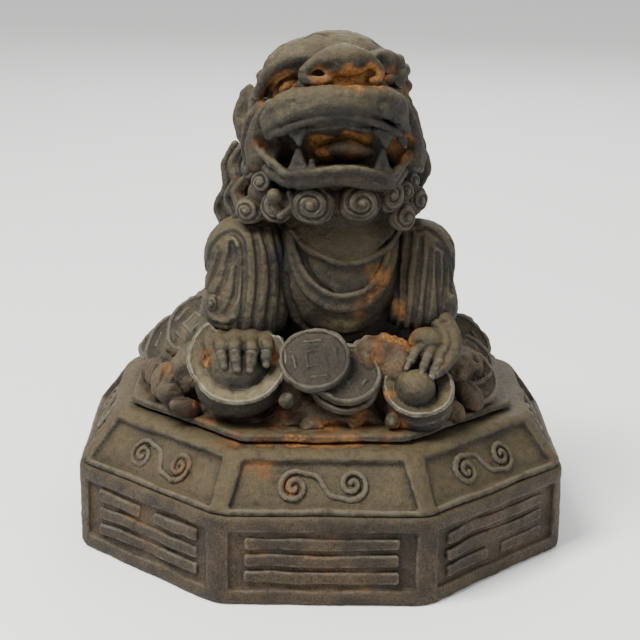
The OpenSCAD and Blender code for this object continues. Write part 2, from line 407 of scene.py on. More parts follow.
def drawn_in(shape, vertices, voxel):
    """Moves each vertex onto the surface and returns it with its normal."""
    here, way = slopes(shape, vertices, 0.3 * voxel)
    size = np.maximum(length(way), 0.3)
    step = np.clip(here / size, -0.6 * voxel, 0.6 * voxel)
    normal = way / np.maximum(length(way), 1e-6)[:, None]
    return vertices - step[:, None] * normal, normal


# ---------------------------------------------------------------- the casting

CROWD_STEP = 1.0                           # spacing of the coarse grid of the whole casting
LEEWAY = 10.0                              # how far outside its CAD box a piece is looked for
OWN_STEPS = (0.7, 1.6)                     # how far out each piece is tested for its own hollows
CROWD_STEPS = (2.2, 4.5)                   # and the whole casting for hollows between pieces
CROWD_MARGIN = 12.0                        # how far the coarse grid goes past the casting's CAD box
CLEAR = 30.0                               # a distance that stands for open air
crowd_low = vec(cad_box[0]) / MM - CROWD_MARGIN
crowd_size = np.ceil((vec(cad_box[1]) / MM + CROWD_MARGIN - crowd_low) / CROWD_STEP).astype(int)
casting = []                               # every piece, in the order it was made


def cast(node, shape, voxel=0.4, grit=0.2):
    """Puts a piece on the list: the CAD node it stands for, its shape and how finely it is drawn."""
    low, high = box(node)
    casting.append({"node": node, "shape": shape, "voxel": voxel * FINE, "grit": grit,
                    "low": low - LEEWAY, "high": high + LEEWAY})


def part_of_crowd(piece):
    """A piece's distances on the coarse grid, where in that grid they belong, and the piece's own extent."""
    start = np.maximum(np.floor((piece["low"] - crowd_low) / CROWD_STEP).astype(int), 0)
    stop = np.minimum(np.ceil((piece["high"] - crowd_low) / CROWD_STEP).astype(int), crowd_size)
    grid = np.stack(np.meshgrid(*[np.arange(a, b) for a, b in zip(start, stop)], indexing="ij"), -1)
    points = crowd_low + grid.reshape(-1, 3).astype(np.float32) * CROWD_STEP
    distances = in_chunks(piece["shape"], points)
    inside = points[distances < CROWD_STEP]
    piece["low"], piece["high"] = inside.min(axis=0) - CROWD_STEP, inside.max(axis=0) + CROWD_STEP
    return start, stop, distances.reshape(grid.shape[:3])


def crowd_at(crowd, points):
    """Distance from the whole casting at each point, between the samples of the coarse grid."""
    scaled = np.clip((points - crowd_low) / CROWD_STEP, 0, crowd_size - 1.001)
    whole = scaled.astype(int)
    part = scaled - whole
    total = np.zeros(len(points), np.float32)
    for dx, dy, dz in CELL_CORNERS:
        weight = (np.where(dx, part[:, 0], 1 - part[:, 0]) * np.where(dy, part[:, 1], 1 - part[:, 1])
                  * np.where(dz, part[:, 2], 1 - part[:, 2]))
        total += weight * crowd[whole[:, 0] + dx, whole[:, 1] + dy, whole[:, 2] + dz]
    return total


def closeness(distances, step):
    """0 where the way out is clear, 1 where it is blocked."""
    return np.clip(1 - distances / step, 0, 1)


def roughened(vertices, normals, grit):
    """The skin of a sand casting: low lumps, grain and a few pits."""
    lumps = noise(vertices, 4.3, 11) + 0.7 * noise(vertices, 1.9, 23) + 0.55 * noise(vertices, 0.8, 37)
    pits = np.clip(noise(vertices, 1.5, 53) - 0.35, 0, 1) * 2.6
    return vertices + normals * (grit * (0.7 * lumps - pits))[:, None]


def sharpness(shape, vertices, step=0.6):
    """How sharply the surface bends outwards: about 0 on a flat, 1 or more along an edge."""
    around = sum(in_chunks(shape, vertices + way * step) for way in np.vstack((np.eye(3), -np.eye(3))))
    return np.clip((around - 6 * in_chunks(shape, vertices)) / step, 0, 2)


def sculpt(piece):
    """Works out a piece's mesh, and how hollow and how exposed the surface is at each vertex."""
    shape, voxel = piece["shape"], piece["voxel"]
    grid = sample(shape, piece["low"], piece["high"], voxel)
    vertices, faces = nets(grid, piece["low"], voxel)
    vertices, normals = drawn_in(shape, vertices, voxel)
    hollow = [closeness(in_chunks(shape, vertices + normals * step), step) for step in OWN_STEPS]
    piece.update(faces=faces, normals=normals, hollow=hollow, ridge=sharpness(shape, vertices),
                 vertices=roughened(vertices, normals, piece["grit"]))
    return piece


def whole_crowd(workers):
    """Distance from the nearest piece of the casting, on the coarse grid."""
    crowd = np.full(crowd_size, CLEAR, np.float32)
    for start, stop, distances in workers.map(part_of_crowd, casting):
        window = tuple(slice(a, b) for a, b in zip(start, stop))
        crowd[window] = np.minimum(crowd[window], distances)
    return crowd


def stained(vertices, stains):
    """How much each vertex lies in one of the rusty patches: (centre, radius, strength)."""
    total = np.zeros(len(vertices), np.float32)
    wander = noise(vertices, 2.6, 71)
    for at, radius, strength in stains:
        gap = length(vertices - vec(at)) / radius + 0.4 * wander
        total = np.maximum(total, strength * np.clip(1.35 - gap, 0, 1))
    return total


def toned(vertices, tones):
    """How much paler (above 0) or darker (below 0) each vertex is: dust and grime in most spots, painted
    shade under the upper lip and round the fangs, painted light at the foot of the belly.
    """
    total = np.zeros(len(vertices), np.float32)
    wander = noise(vertices, 3.4, 72)
    for at, radius, strength in tones:
        gap = length(vertices - vec(at)) / radius + 0.3 * wander
        total += strength * np.clip(1.5 - gap, 0, 1)
    return np.clip(total, -1, 1)


def quad_mesh(name, vertices, faces):
    """A smooth Blender mesh from vertices in millimetres and four-sided faces."""
    mesh = bpy.data.meshes.new(name)
    mesh.vertices.add(len(vertices))
    mesh.vertices.foreach_set("co", (vertices * MM).astype(np.float32).ravel())
    mesh.loops.add(faces.size)
    mesh.loops.foreach_set("vertex_index", faces.astype(np.int32).ravel())
    mesh.polygons.add(len(faces))
    mesh.polygons.foreach_set("loop_start", np.arange(0, faces.size, 4, dtype=np.int32))
    mesh.polygons.foreach_set("use_smooth", np.ones(len(faces), bool))
    mesh.update()
    return mesh


def show(piece, crowd, stains, tones):
    """Puts a sculpted piece in the scene, with its surface facts as attributes, in place of its CAD node."""
    name = f"{piece['node']}_iron"
    vertices = piece["vertices"]
    mesh = quad_mesh(name, vertices, piece["faces"])
    around = [closeness(crowd_at(crowd, vertices + piece["normals"] * step), step) for step in CROWD_STEPS]
    # How enclosed each vertex is: it guides where rust seeps and dust is thin, and where painted shade
    # darkens the colour
    hollow = 0.3 * sum(piece["hollow"]) + 0.35 * sum(around)
    facts = {"hollow": np.clip(hollow, 0, 1), "ridge": piece["ridge"], "stain": stained(vertices, stains),
             "tone": toned(vertices, tones)}
    for fact, values in facts.items():
        mesh.attributes.new(fact, "FLOAT", "POINT").data.foreach_set("value", values.astype(np.float32))
    made = bpy.data.objects.new(name, mesh)
    bpy.context.scene.collection.objects.link(made)
    slot = slot_of[piece["node"]]
    mesh.materials.append(looks[slot])
    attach(made, "root")
    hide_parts(piece["node"])


# ---------------------------------------------------------------- materials

class Graph:
    """A material's node tree, with short ways to add the nodes that the looks need."""

    def __init__(self, name):
        self.material = bpy.data.materials.new(name)
        self.material.use_nodes = True
        self.tree = self.material.node_tree
        self.shader = self.tree.nodes["Principled BSDF"]
        self.place = self.add("ShaderNodeTexCoord").outputs["Object"]

    def add(self, kind, **settings):
        made = self.tree.nodes.new(kind)
        for name, value in settings.items():
            setattr(made, name, value)
        return made

    def feed(self, socket, value):
        if isinstance(value, bpy.types.NodeSocket):
            self.tree.links.new(value, socket)
        else:
            socket.default_value = value

    def fact(self, name):
        """A number that the mesh carries at each vertex."""
        return self.add("ShaderNodeAttribute", attribute_name=name).outputs["Fac"]

    def noise(self, cell_mm, detail=4.0, roughness=0.55):
        """Noise with lumps about cell_mm across."""
        made = self.add("ShaderNodeTexNoise")
        self.feed(made.inputs["Vector"], self.place)
        self.feed(made.inputs["Scale"], 1000 / cell_mm)
        self.feed(made.inputs["Detail"], detail)
        self.feed(made.inputs["Roughness"], roughness)
        return made.outputs["Fac"]

    def math(self, operation, a, b):
        made = self.add("ShaderNodeMath", operation=operation)
        self.feed(made.inputs[0], a)
        self.feed(made.inputs[1], b)
        return made.outputs[0]

    def plus(self, a, b):
        return self.math("ADD", a, b)

    def minus(self, a, b):
        return self.math("SUBTRACT", a, b)

    def times(self, a, b):
        return self.math("MULTIPLY", a, b)

    def ramp(self, value, low, high, out_low=0.0, out_high=1.0):
        """A smooth step from low to high."""
        made = self.add("ShaderNodeMapRange", interpolation_type="SMOOTHSTEP")
        for socket, given in zip(made.inputs, (value, low, high, out_low, out_high)):
            self.feed(socket, given)
        return made.outputs[0]

    def mix(self, factor, a, b):
        """A colour between a and b."""
        made = self.add("ShaderNodeMix", data_type="RGBA")
        self.feed(made.inputs[0], factor)
        self.feed(made.inputs[6], a if isinstance(a, bpy.types.NodeSocket) else (*a, 1))
        self.feed(made.inputs[7], b if isinstance(b, bpy.types.NodeSocket) else (*b, 1))
        return made.outputs[2]

    def upward(self):
        """The height part of the surface's own direction: 1 where it faces the sky."""
        split = self.add("ShaderNodeSeparateXYZ")
        self.feed(split.inputs[0], self.add("ShaderNodeNewGeometry").outputs["Normal"])
        return split.outputs["Z"]


# Colours that time and use add to the iron, and the painted shade and painted light laid on it
BARE = (0.180, 0.168, 0.132)
DUST = (0.116, 0.088, 0.041)
# Pale dust, also painted as light at the foot of the belly
PALE_DUST_AND_PAINTED_LIGHT = (0.180, 0.150, 0.090)
# Near black, painted into the hollows as shade
PAINTED_HOLLOW_SHADE = (0.012, 0.010, 0.008)
# Dark grime, also painted as shade under the upper lip and round the fangs
GRIME_AND_PAINTED_SHADE = (0.016, 0.015, 0.012)
RUST_DARK = (0.030, 0.013, 0.007)
RUST = (0.105, 0.047, 0.016)
RUST_BRIGHT = (0.262, 0.116, 0.027)


def rust_on(g, bases, rust):
    """How rusty the iron is, from 0 to 1, and the rust's own colour, from dark brown to orange."""
    seep = g.plus(g.times(bases["hollow"], 0.9), bases["rough_edge"])
    bloom = g.times(bases["stain"], g.plus(0.45, g.times(bases["hollow"], 1.1)))
    seeping = g.ramp(seep, 0.95 - 0.6 * rust, 1.45 - 0.6 * rust)
    blooming = g.ramp(g.plus(bloom, g.times(bases["rough_edge"], 0.9)), 0.25, 0.8)
    colour = g.mix(g.ramp(bases["mottle"], 0.42, 0.60), RUST_DARK, RUST)
    bright = g.times(g.ramp(bloom, 0.5, 1.35), g.ramp(bases["crumbs"], 0.40, 0.56, 0.2, 1.0))
    colour = g.mix(g.times(bright, g.ramp(bases["grain"], 0.30, 0.55, 0.45, 1.0)), colour, RUST_BRIGHT)
    return g.math("MAXIMUM", seeping, blooming), colour


def dusted(g, bases, dark, warm, dust):
    """The colour of mottled iron under a film of dust, thickest where the surface faces the sky, and paler
    where the tone is above 0: pale dust, and painted light at the foot of the belly.
    """
    skin = g.mix(g.ramp(bases["mottle"], 0.38, 0.62), dark, warm)
    skin = g.mix(g.ramp(bases["grain"], 0.42, 0.66, 0.0, 0.8), skin, tuple(0.25 * c for c in dark))
    open_sky = g.ramp(g.minus(g.upward(), g.times(bases["hollow"], 0.9)), -0.25, 0.95)
    dusty = g.times(open_sky, g.ramp(bases["patches"], 0.25, 0.62, 0.4, 1.0))
    skin = g.mix(g.times(dusty, dust), skin, DUST)
    # Paler where the tone is above 0: pale dust, and painted light at the foot of the belly
    pale = g.ramp(g.plus(bases["tone"], g.times(bases["rough_edge"], 0.5)), 0.15, 1.2)
    return g.mix(pale, skin, PALE_DUST_AND_PAINTED_LIGHT)


def finish_relief(g, bases):
    """Fine grain that is too small for the mesh."""
    bump = g.add("ShaderNodeBump")
    g.feed(bump.inputs["Strength"], 0.85)
    g.feed(bump.inputs["Distance"], 0.4 * MM)
    grainy = g.plus(g.times(bases["grain"], 0.5), g.times(bases["crumbs"], 0.6))
    g.feed(bump.inputs["Height"], g.plus(grainy, bases["patches"]))
    g.feed(g.shader.inputs["Normal"], bump.outputs["Normal"])


def iron(name, dark, warm, dust, rust, wear):
    """Old cast iron: mottled, dusty on top, rusty in the hollows, bare where hands rub it; painted shade
    darkens its hollows, the underside of the upper lip and the fangs, and painted light pales the foot of the
    belly.
    """
    g = Graph(name)
    bases = {fact: g.fact(fact) for fact in ("hollow", "ridge", "stain", "tone")}
    bases.update(mottle=g.noise(9), patches=g.noise(2.2, 6), crumbs=g.noise(0.9, 4, 0.65),
                 grain=g.noise(0.45, 5, 0.7))
    bases["rough_edge"] = g.times(g.minus(bases["patches"], 0.5), 1.6)
    hollow, tone = bases["hollow"], bases["tone"]

    skin = dusted(g, bases, dark, warm, dust)
    skin = g.mix(g.ramp(bases["patches"], 0.46, 0.64, 0.0, 0.45), skin, GRIME_AND_PAINTED_SHADE)
    rusty, rust_colour = rust_on(g, bases, rust)
    skin = g.mix(g.times(rusty, 0.88), skin, rust_colour)
    # Painted shade: the more enclosed the surface, the nearer its colour goes to black, less so where rust
    # has bloomed
    deep = g.minus(hollow, g.times(bases["stain"], 0.5))
    skin = g.mix(g.ramp(deep, 0.35, 0.95, 0.0, 0.72), skin, PAINTED_HOLLOW_SHADE)
    # Darker where the tone is below 0: grime in some spots, painted shade under the upper lip and round the
    # fangs
    skin = g.mix(g.ramp(g.minus(0.0, tone), 0.0, 1.0, 0.0, 0.8), skin, GRIME_AND_PAINTED_SHADE)

    clean = g.times(g.ramp(tone, -0.8, 0.0), g.minus(1.0, g.times(rusty, 0.75)))
    exposed = g.ramp(g.plus(bases["ridge"], bases["rough_edge"]), 0.35, 1.35)
    rubbed = g.times(exposed, g.times(clean, wear))
    g.feed(g.shader.inputs["Base Color"], g.mix(rubbed, skin, BARE))
    g.feed(g.shader.inputs["Specular IOR Level"], 0.24)
    dull = g.ramp(bases["grain"], 0.3, 0.7, 0.50, 0.74)
    g.feed(g.shader.inputs["Roughness"], g.minus(dull, g.times(rubbed, 0.28)))
    metal = g.plus(0.08, g.times(rubbed, 0.7))
    g.feed(g.shader.inputs["Metallic"], g.times(g.minus(1.0, rusty), metal))
    finish_relief(g, bases)
    return g.material


# Each slot's darkest and warmest colour, then how much dust, rust and wear it has
IRONS = {
    "pedestal_wall_iron": ((0.030, 0.022, 0.015), (0.062, 0.043, 0.025), 0.5, 0.6, 0.45),
    "pedestal_top_iron": ((0.022, 0.018, 0.012), (0.044, 0.033, 0.019), 0.7, 0.5, 0.4),
    "rusted_iron": ((0.036, 0.026, 0.017), (0.074, 0.046, 0.026), 0.45, 0.8, 0.1),
    "coin_iron": ((0.018, 0.0155, 0.012), (0.036, 0.028, 0.019), 0.2, 0.6, 0.36),
    "ingot_iron": ((0.022, 0.019, 0.015), (0.040, 0.032, 0.022), 0.8, 0.4, 0.9),
    "worn_iron": ((0.026, 0.024, 0.020), (0.046, 0.040, 0.030), 0.5, 0.35, 0.5),
    "mane_iron": ((0.019, 0.017, 0.012), (0.036, 0.028, 0.017), 0.7, 0.5, 0.25),
    "lion_iron": ((0.019, 0.017, 0.013), (0.036, 0.029, 0.018), 0.7, 0.5, 0.25),
}
looks = {slot: iron(slot, *settings) for slot, settings in IRONS.items()}


# ---------------------------------------------------------------- pedestal

foot_low, foot_high = box("pedestal_wall")
terrace_low, terrace_high = box("terrace_plate")
foot_across = foot_high[0] - foot_low[0]
terrace_across = terrace_high[0] - terrace_low[0]
wall_top = foot_high[2]
rim_top = box("pedestal_slope")[1][2]
ground = terrace_high[2]
RIM_ACROSS = 102.0                         # across the flats at the top of the sloping band
IRON = 5.0                                 # thickness of the hollow casting
PANEL_DEPTH = 1.2
BORDER = 3.2                               # from a corner of the pedestal to a panel
CORNER = 2.4                               # how far the upright corners are rounded
BAR_PITCH = 4.2                            # from one row of bars to the next
half_slope = (foot_across + RIM_ACROSS) / 4    # from the middle to the sloping band, half way up
lean = math.atan2((foot_across - RIM_ACROSS) / 2, rim_top - wall_top)
side_width = foot_across * math.tan(math.pi / 8)


def to_front(p):
    """How far along its side and how far out from the Z axis each point is, and which side that is."""
    side = np.round(np.arctan2(p[:, 0], -p[:, 1]) / (math.pi / 4))
    a = side * (math.pi / 4)
    along = p[:, 0] * np.cos(a) + p[:, 1] * np.sin(a)
    out = p[:, 0] * np.sin(a) - p[:, 1] * np.cos(a)
    return along, out, side.astype(int) % 8


def wobbled(p, amount, cell=9.0, seed=5):
    """Points shifted a little, so that straight edges look hand made."""
    shift = np.stack([noise(p, cell, seed + i) for i in range(3)], 1)
    return p + amount * shift


def eight_sided(p, k):
    """How far out each point is towards the nearest of eight sides, with corners rounded by about k."""
    x, y = np.abs(p[:, 0]), np.abs(p[:, 1])
    return soft_max(soft_max(x, y, k), (x + y) * math.sqrt(0.5), k)


def along_slope(p, out):
    """How far up the sloping band each point is from its middle, and how far off its face."""
    reach, rise = out - half_slope, p[:, 2] - (wall_top + rim_top) / 2
    return rise * math.cos(lean) - reach * math.sin(lean), reach * math.cos(lean) + rise * math.sin(lean)


def panel(along, up, half_foot, half_top, half_height):
    """Distance in the plane of a side from a panel that may be narrower at the top."""
    share = (up + half_height) / (2 * half_height)
    half = half_foot + (half_top - half_foot) * np.clip(share, 0, 1)
    return soft_max(np.abs(along) - half, np.abs(up) - half_height, 0.8)


def wall_shape(p):
    """The upright wall: eight sides with a sunk panel in each, hollow inside."""
    p = wobbled(p, 0.3)
    along, out, _ = to_front(p)
    up = p[:, 2] - wall_top / 2
    outer = soft_max(eight_sided(p, CORNER) - foot_across / 2, np.abs(up) - wall_top / 2, 1.6)
    sunk = panel(along, up, side_width / 2 - BORDER, side_width / 2 - BORDER, wall_top / 2 - 3.9)
    recess = soft_max(sunk, foot_across / 2 - PANEL_DEPTH - out, 0.5)
    inner = octagon(p, foot_across - 2 * IRON)
    return soft_max(soft_max(outer, -recess, 0.9), -inner, 0.6)


# For each side, from the front one on: which of its three rows of bars are parted, from the top down
PARTED = ((0, 0, 0), (0, 0, 1), (1, 0, 1), (0, 1, 1), (1, 1, 1), (1, 1, 0), (0, 1, 0), (1, 0, 0))


def bars_shape(p):
    """Three raised rows on each side of the wall; some rows are parted in the middle."""
    p = wobbled(p, 0.35, cell=6.0, seed=15)
    along, out, side = to_front(p)
    up = p[:, 2] - wall_top / 2
    depth = np.abs(out - (foot_across / 2 - 1.25)) - 0.85
    total = np.full(len(p), 9.0, np.float32)
    parted = np.array(PARTED)
    for row in range(3):
        tall = np.abs(up - (1 - row) * BAR_PITCH) - 1.5
        whole = np.abs(along) - 18
        halves = np.abs(np.abs(along) - 10.25) - 7.75
        wide = np.where(parted[side, row] == 1, halves, whole)
        total = np.minimum(total, soft_max(soft_max(wide, tall, 0.9), depth, 0.7))
    return total


def slope_shape(p):
    """The sloping band: eight sides with a sunk panel in each, hollow under a roof."""
    p = wobbled(p, 0.3)
    along, out, _ = to_front(p)
    up, off = along_slope(p, out)
    rise = p[:, 2] - (wall_top + rim_top) / 2
    skin = (eight_sided(p, CORNER) - half_slope) * math.cos(lean) + rise * math.sin(lean)
    outer = soft_max(skin, np.abs(rise) - (rim_top - wall_top) / 2, 1.5)
    half = (rim_top - wall_top) / math.cos(lean) / 2
    half_top = RIM_ACROSS * math.tan(math.pi / 8) / 2 - 2.6
    sunk = panel(along, up, side_width / 2 - BORDER, half_top, half - 2.4)
    recess = soft_max(sunk, -PANEL_DEPTH - off, 0.5)
    inner = octagon(p, 2 * half_slope - 2 * IRON) * math.cos(lean) + rise * math.sin(lean)
    hollow = np.maximum(inner, p[:, 2] - (rim_top - IRON))
    return soft_max(soft_max(outer, -recess, 0.9), -hollow, 0.6)


def terrace_shape(p):
    """The low raised terrace, with a narrow groove round its foot."""
    p = wobbled(p, 0.3)
    neck = np.clip((rim_top + 0.9 - p[:, 2]) * 2, 0, 1)
    outer = eight_sided(p, 1.5) - terrace_across / 2 + 1.1 * neck
    return soft_max(outer, np.abs(p[:, 2] - (rim_top + ground) / 2) - (ground - rim_top) / 2, 1.0)


def spiral(centre, radius, start, turns, steps=26):
    """Points of a spiral that winds in to its centre, in the plane of a panel."""
    t = np.linspace(0, 1, steps)
    angle = math.radians(start) + 2 * math.pi * turns * t
    size = radius * (1 - 0.86 * t)
    return np.stack((centre[0] + size * np.cos(angle), centre[1] + size * np.sin(angle)), 1)


def scroll_path():
    """A cloud scroll: two spirals joined by a wave, the same when turned half round."""
    wound = spiral((6.6, 0.4), 3.9, -120, 1.7)
    lead = curve([(0, 0), (1.6, -2.2), tuple(wound[0])], 4)[:-1]
    arm = np.vstack((lead, wound))
    return np.vstack((-arm[::-1], arm[1:]))


def scrolls_shape(p):
    """A raised scroll on the floor of each sloping panel."""
    along, out, _ = to_front(wobbled(p, 0.3, cell=5.0, seed=25))
    up, off = along_slope(p, out)
    path = scroll_path()
    nearest = np.full(len(p), 9.0, np.float32)
    for (ax, ay), (bx, by) in zip(path[:-1], path[1:]):
        ex, ey = bx - ax, by - ay
        t = np.clip(((along - ax) * ex + (up - ay) * ey) / (ex * ex + ey * ey + 1e-9), 0, 1)
        nearest = np.minimum(nearest, np.hypot(along - ax - t * ex, up - ay - t * ey))
    return soft_max(nearest - 0.75, np.abs(off + PANEL_DEPTH) - 0.7, 0.7)


cast("pedestal_wall", wall_shape, voxel=0.58, grit=0.14)
cast("wall_bars", bars_shape, voxel=0.4, grit=0.14)
cast("pedestal_slope", slope_shape, voxel=0.66, grit=0.14)
cast("slope_scrolls", scrolls_shape, voxel=0.36, grit=0.1)
cast("terrace_plate", terrace_shape, voxel=0.52, grit=0.12)


# ---------------------------------------------------------------- forms that several pieces share

def section(corners, rounding=0.3):
    """The profile of a turned shape for lathe(), from the corners of its outline."""
    corners = np.array(corners, np.float32)
    edges = list(zip(corners, np.roll(corners, -1, axis=0)))

    def profile(r, h):
        nearest = np.full(r.shape, 1e6, np.float32)
        inside = np.zeros(r.shape, bool)
        for (ar, ah), (br, bh) in edges:
            er, eh = br - ar, bh - ah
            t = np.clip(((r - ar) * er + (h - ah) * eh) / (er * er + eh * eh), 0, 1)
            nearest = np.minimum(nearest, np.hypot(r - ar - t * er, h - ah - t * eh))
            if ah != bh:
                inside ^= ((ah <= h) != (bh <= h)) & (r < ar + (h - ah) / eh * er)
        return np.where(inside, -nearest, nearest) - rounding
    return profile


def snail(at, radius, facing_way, hand=1, height=0.65, winds=2.2, stretch=1.0, spin=0.0):
    """A curl of hair: a dome wound with one spiral groove, and a bead in the middle."""
    place = facing(at, facing_way, spin)
    tall = height * radius
    dome = egg(None, (radius * stretch, radius, tall), place=place)
    bead = ball(place.outside((0, 0, tall * 0.80)), 0.27 * radius)
    pitch = radius / winds

    def distance(p):
        q = place.inside(p)
        out = np.hypot(q[:, 0] / stretch, q[:, 1])
        phase = out / pitch - hand * np.arctan2(q[:, 1], q[:, 0] / stretch) / (2 * math.pi)
        groove = 1 - np.abs(np.sin(math.pi * phase))
        front = np.clip(q[:, 2] / (0.3 * tall), 0, 1)
        return soft_min(dome(p) + 0.34 * pitch * groove * groove * front, bead(p), 0.25)
    return near(distance, at, radius * max(stretch, 1.0))


def furrow(shape, points, width=1.2, way=(0, 1, 0), deep=0.25):
    """A tool that draws a groove along a curve laid on the shape from one side."""
    path = land(curve(points, 5), shape, way) + deep * unit(way)
    return strand(path, (0.35 * width, 0.5 * width, 0.5 * width, 0.35 * width), steps=1)


def ridge_on(shape, points, radius, way=(0, 1, 0), sunk=0.3):
    """A raised strand along a curve laid on the shape from one side."""
    path = land(curve(points, 5), shape, way) + sunk * radius * unit(way)
    return strand(path, radius, steps=1)


def upright(points, y=0.0):
    """Points of a front view, (x, z), as points in space."""
    return [(x, y, z) for x, z in points]


def lumpy(shape, amount, cell, seed):
    """The shape with a lumpy skin."""
    def distance(p):
        d = shape(p)
        skin = np.abs(d) < 4 * amount + 1
        if skin.any():
            d = d.copy()
            d[skin] += amount * noise(p[skin], cell, seed)
        return d
    return distance


def above(height):
    """Everything above a level."""
    return lambda p: height - p[:, 2]


# ---------------------------------------------------------------- treasure

# How each coin leans: turns about X, Y and Z, in degrees
COIN_TILTS = {
    "front_coin_top": (40, 0, -4), "front_coin_middle": (38, 0, 8), "front_coin_bottom": (38, 0, 8),
    "left_coin_upper": (28, -40, 0), "left_coin_lower": (28, -36, 0), "left_coin_back": (-6, -46, 0),
    "left_coin_tip": (10, -30, 0), "right_coin_upper": (34, 26, 0), "right_coin_middle": (30, 20, 0),
    "right_coin_lower": (32, 18, 0), "right_coin_edge": (0, 50, 0),
}
COIN_RADIUS = 8.7                          # millimetres, as all coin sizes
COIN_HALF = 1.25                           # half of a coin's thickness
COIN_FIELD = 0.9                           # how far the field lies below the rim


def coin_relief(q, turn, worn, wear_noise):
    """How far the rim, the square frame and the bar beside each of its sides rise above the field."""
    out = np.hypot(q[:, 0], q[:, 1])
    x = np.abs(q[:, 0] * math.cos(turn) + q[:, 1] * math.sin(turn))
    y = np.abs(q[:, 1] * math.cos(turn) - q[:, 0] * math.sin(turn))
    rim = np.abs(out - (COIN_RADIUS - 0.75)) - 0.62
    square = np.abs(np.maximum(x, y) - 2.1) - 0.42
    bars = np.minimum(np.maximum(np.abs(x - 4.9) - 0.45, y - 2.0),
                      np.maximum(np.abs(y - 4.9) - 0.45, x - 2.0))
    low = np.minimum(square, bars)
    wear = np.clip(1.1 + 0.8 * wear_noise - worn * 0.4, 0, 1)
    return COIN_FIELD * np.clip(0.5 - rim / 0.5, 0, 1) + 0.75 * wear * np.clip(0.5 - low / 0.5, 0, 1)


def coin(at, tilt, worn=0.5, spin=0.0):
    """A disc with the same relief on both faces."""
    place = Place(at, tilt)
    plan = lathe(place, flat_ring(COIN_RADIUS, COIN_HALF, 0.45))
    turn = math.radians(spin)

    def distance(p):
        d = plan(p)
        close = np.abs(d) < 2
        if not close.any():
            return d
        q = place.inside(p[close])
        field = COIN_FIELD - np.clip(coin_relief(q, turn, worn, noise(p[close], 2.6, 91)), 0, COIN_FIELD)
        both = np.clip(np.abs(q[:, 2]) * 1.2, 0, 1)
        d = d.copy()
        d[close] += field * both + 0.22 * noise(p[close], 1.7, 92) * both
        return d
    return near(distance, at, COIN_RADIUS + 0.3)


def bent(shape, at, amount, cell, seed):
    """The shape with its outline pushed about, as if it had been cast by hand."""
    def distance(p):
        return shape(wobbled(p, amount, cell, seed))
    return near(distance, at, COIN_RADIUS + 1)


for number, (node, tilt) in enumerate(COIN_TILTS.items()):
    made = coin(middle(node), tilt, worn=0.2 + 0.4 * (number % 3), spin=(12, 47, 80)[number % 3])
    cast(node, bent(made, middle(node), 0.35, 5.0, number), voxel=0.34)


def rear_coins_shape():
    """Five coins that lean on the back of the mound, evenly along an arc."""
    low, high = box("rear_coins")
    coins = []
    for number in range(5):
        bearing = math.radians(30 + 30 * number)
        at = (35 * math.cos(bearing), 35 * math.sin(bearing), (low[2] + high[2]) / 2)
        coins.append(coin(at, (0, 38, math.degrees(bearing)), spin=25 * number))
    return join(*coins)


cast("rear_coins", rear_coins_shape(), voxel=0.42)


def dish(place, radius, well):
    """An ingot's dish: a turned bowl whose wide rim slopes in towards the dome or ball in its well."""
    depth = 5.0
    outline = [(0, -depth), (0.62 * radius, -depth + 0.2), (0.95 * radius, -1.6), (radius - 0.2, 0.2),
               (radius - 0.7, 0.6), (radius - 1.5, 0.25), (well * radius + 0.7, -0.3),
               (well * radius, -1.6), (0, -1.6)]
    shape = lathe(place, section(outline, 0.25))
    return lambda p: shape(wobbled(p, 0.35, 6.0, 31))


def under(place, gap):
    """Everything below a dish's own level, so that its belly doesn't fill the well."""
    return lambda p: place.inside(p)[:, 2] + gap


LEFT_INGOT_TILT = (47, 0, 0)
RIGHT_INGOT_TILT = (38, 0, 4)
left_dish_place = Place((-20.2, -37.5, 53.1), LEFT_INGOT_TILT)
right_dish_place = Place((22.6, -38.5, 46.7), RIGHT_INGOT_TILT)


def left_dish_shape():
    """The large dish, with a round belly under it and room for the paw behind it."""
    belly = common(egg((-20.2, -36.4, 46.6), (10.4, 8.0, 8.2)), above(37.0), under(left_dish_place, 1.6),
                   k=0.6)
    paw_room = join(egg((-18.8, -27.0, 60.8), (10.8, 7.4, 6.4)), egg((-10.2, -29.6, 60.6), (4.6, 5.0, 5.4)))
    return cut(join(dish(left_dish_place, 12.0, well=0.62), belly, k=0.8), paw_room, k=0.4)


def right_dish_shape():
    """The small dish, with a round belly under it."""
    belly = common(egg((22.6, -37.6, 41.6), (8.0, 7.4, 6.4)), under(right_dish_place, 1.6), k=0.6)
    return join(dish(right_dish_place, 8.6, well=0.5), belly, k=0.8)


left_dish = left_dish_shape()
left_dome_at = left_dish_place.outside((-0.5, -1.2, -1.8))
left_dome = egg(left_dome_at, (7.3, 7.1, 5.0), LEFT_INGOT_TILT)
right_dish = right_dish_shape()
right_ball = ball(middle("right_ball") + vec(-0.4, 0.2, -1.5), 4.8)

cast("left_ingot_dish", left_dish, voxel=0.4)
cast("left_ingot_dome", seated(lumpy(left_dome, 0.3, 3.0, 41), left_dish, 0.8), voxel=0.36)
cast("right_ingot_dish", right_dish, voxel=0.4)
cast("right_ball", seated(lumpy(right_ball, 0.15, 2.5, 43), right_dish, 0.7), voxel=0.32)

mound_low, mound_high = box("rock_mound")
heaps = join(egg((14.6, -31.0, 49.6), (7.6, 6.0, 6.6)), egg((18.4, -34.6, 46.0), (4.6, 4.4, 7.0)),
             egg((-8.6, -33.0, 49.0), (5.4, 5.0, 6.4)), egg((-31.5, -22.0, 46.0), (6.0, 9.0, 5.4)),
             egg((33.0, -14.0, 45.0), (7.0, 12.0, 5.0)), egg((-33.0, 2.0, 46.0), (7.0, 14.0, 4.6)),
             egg((12.0, -32.0, 51.0), (5.0, 3.4, 5.0)), k=2.0)


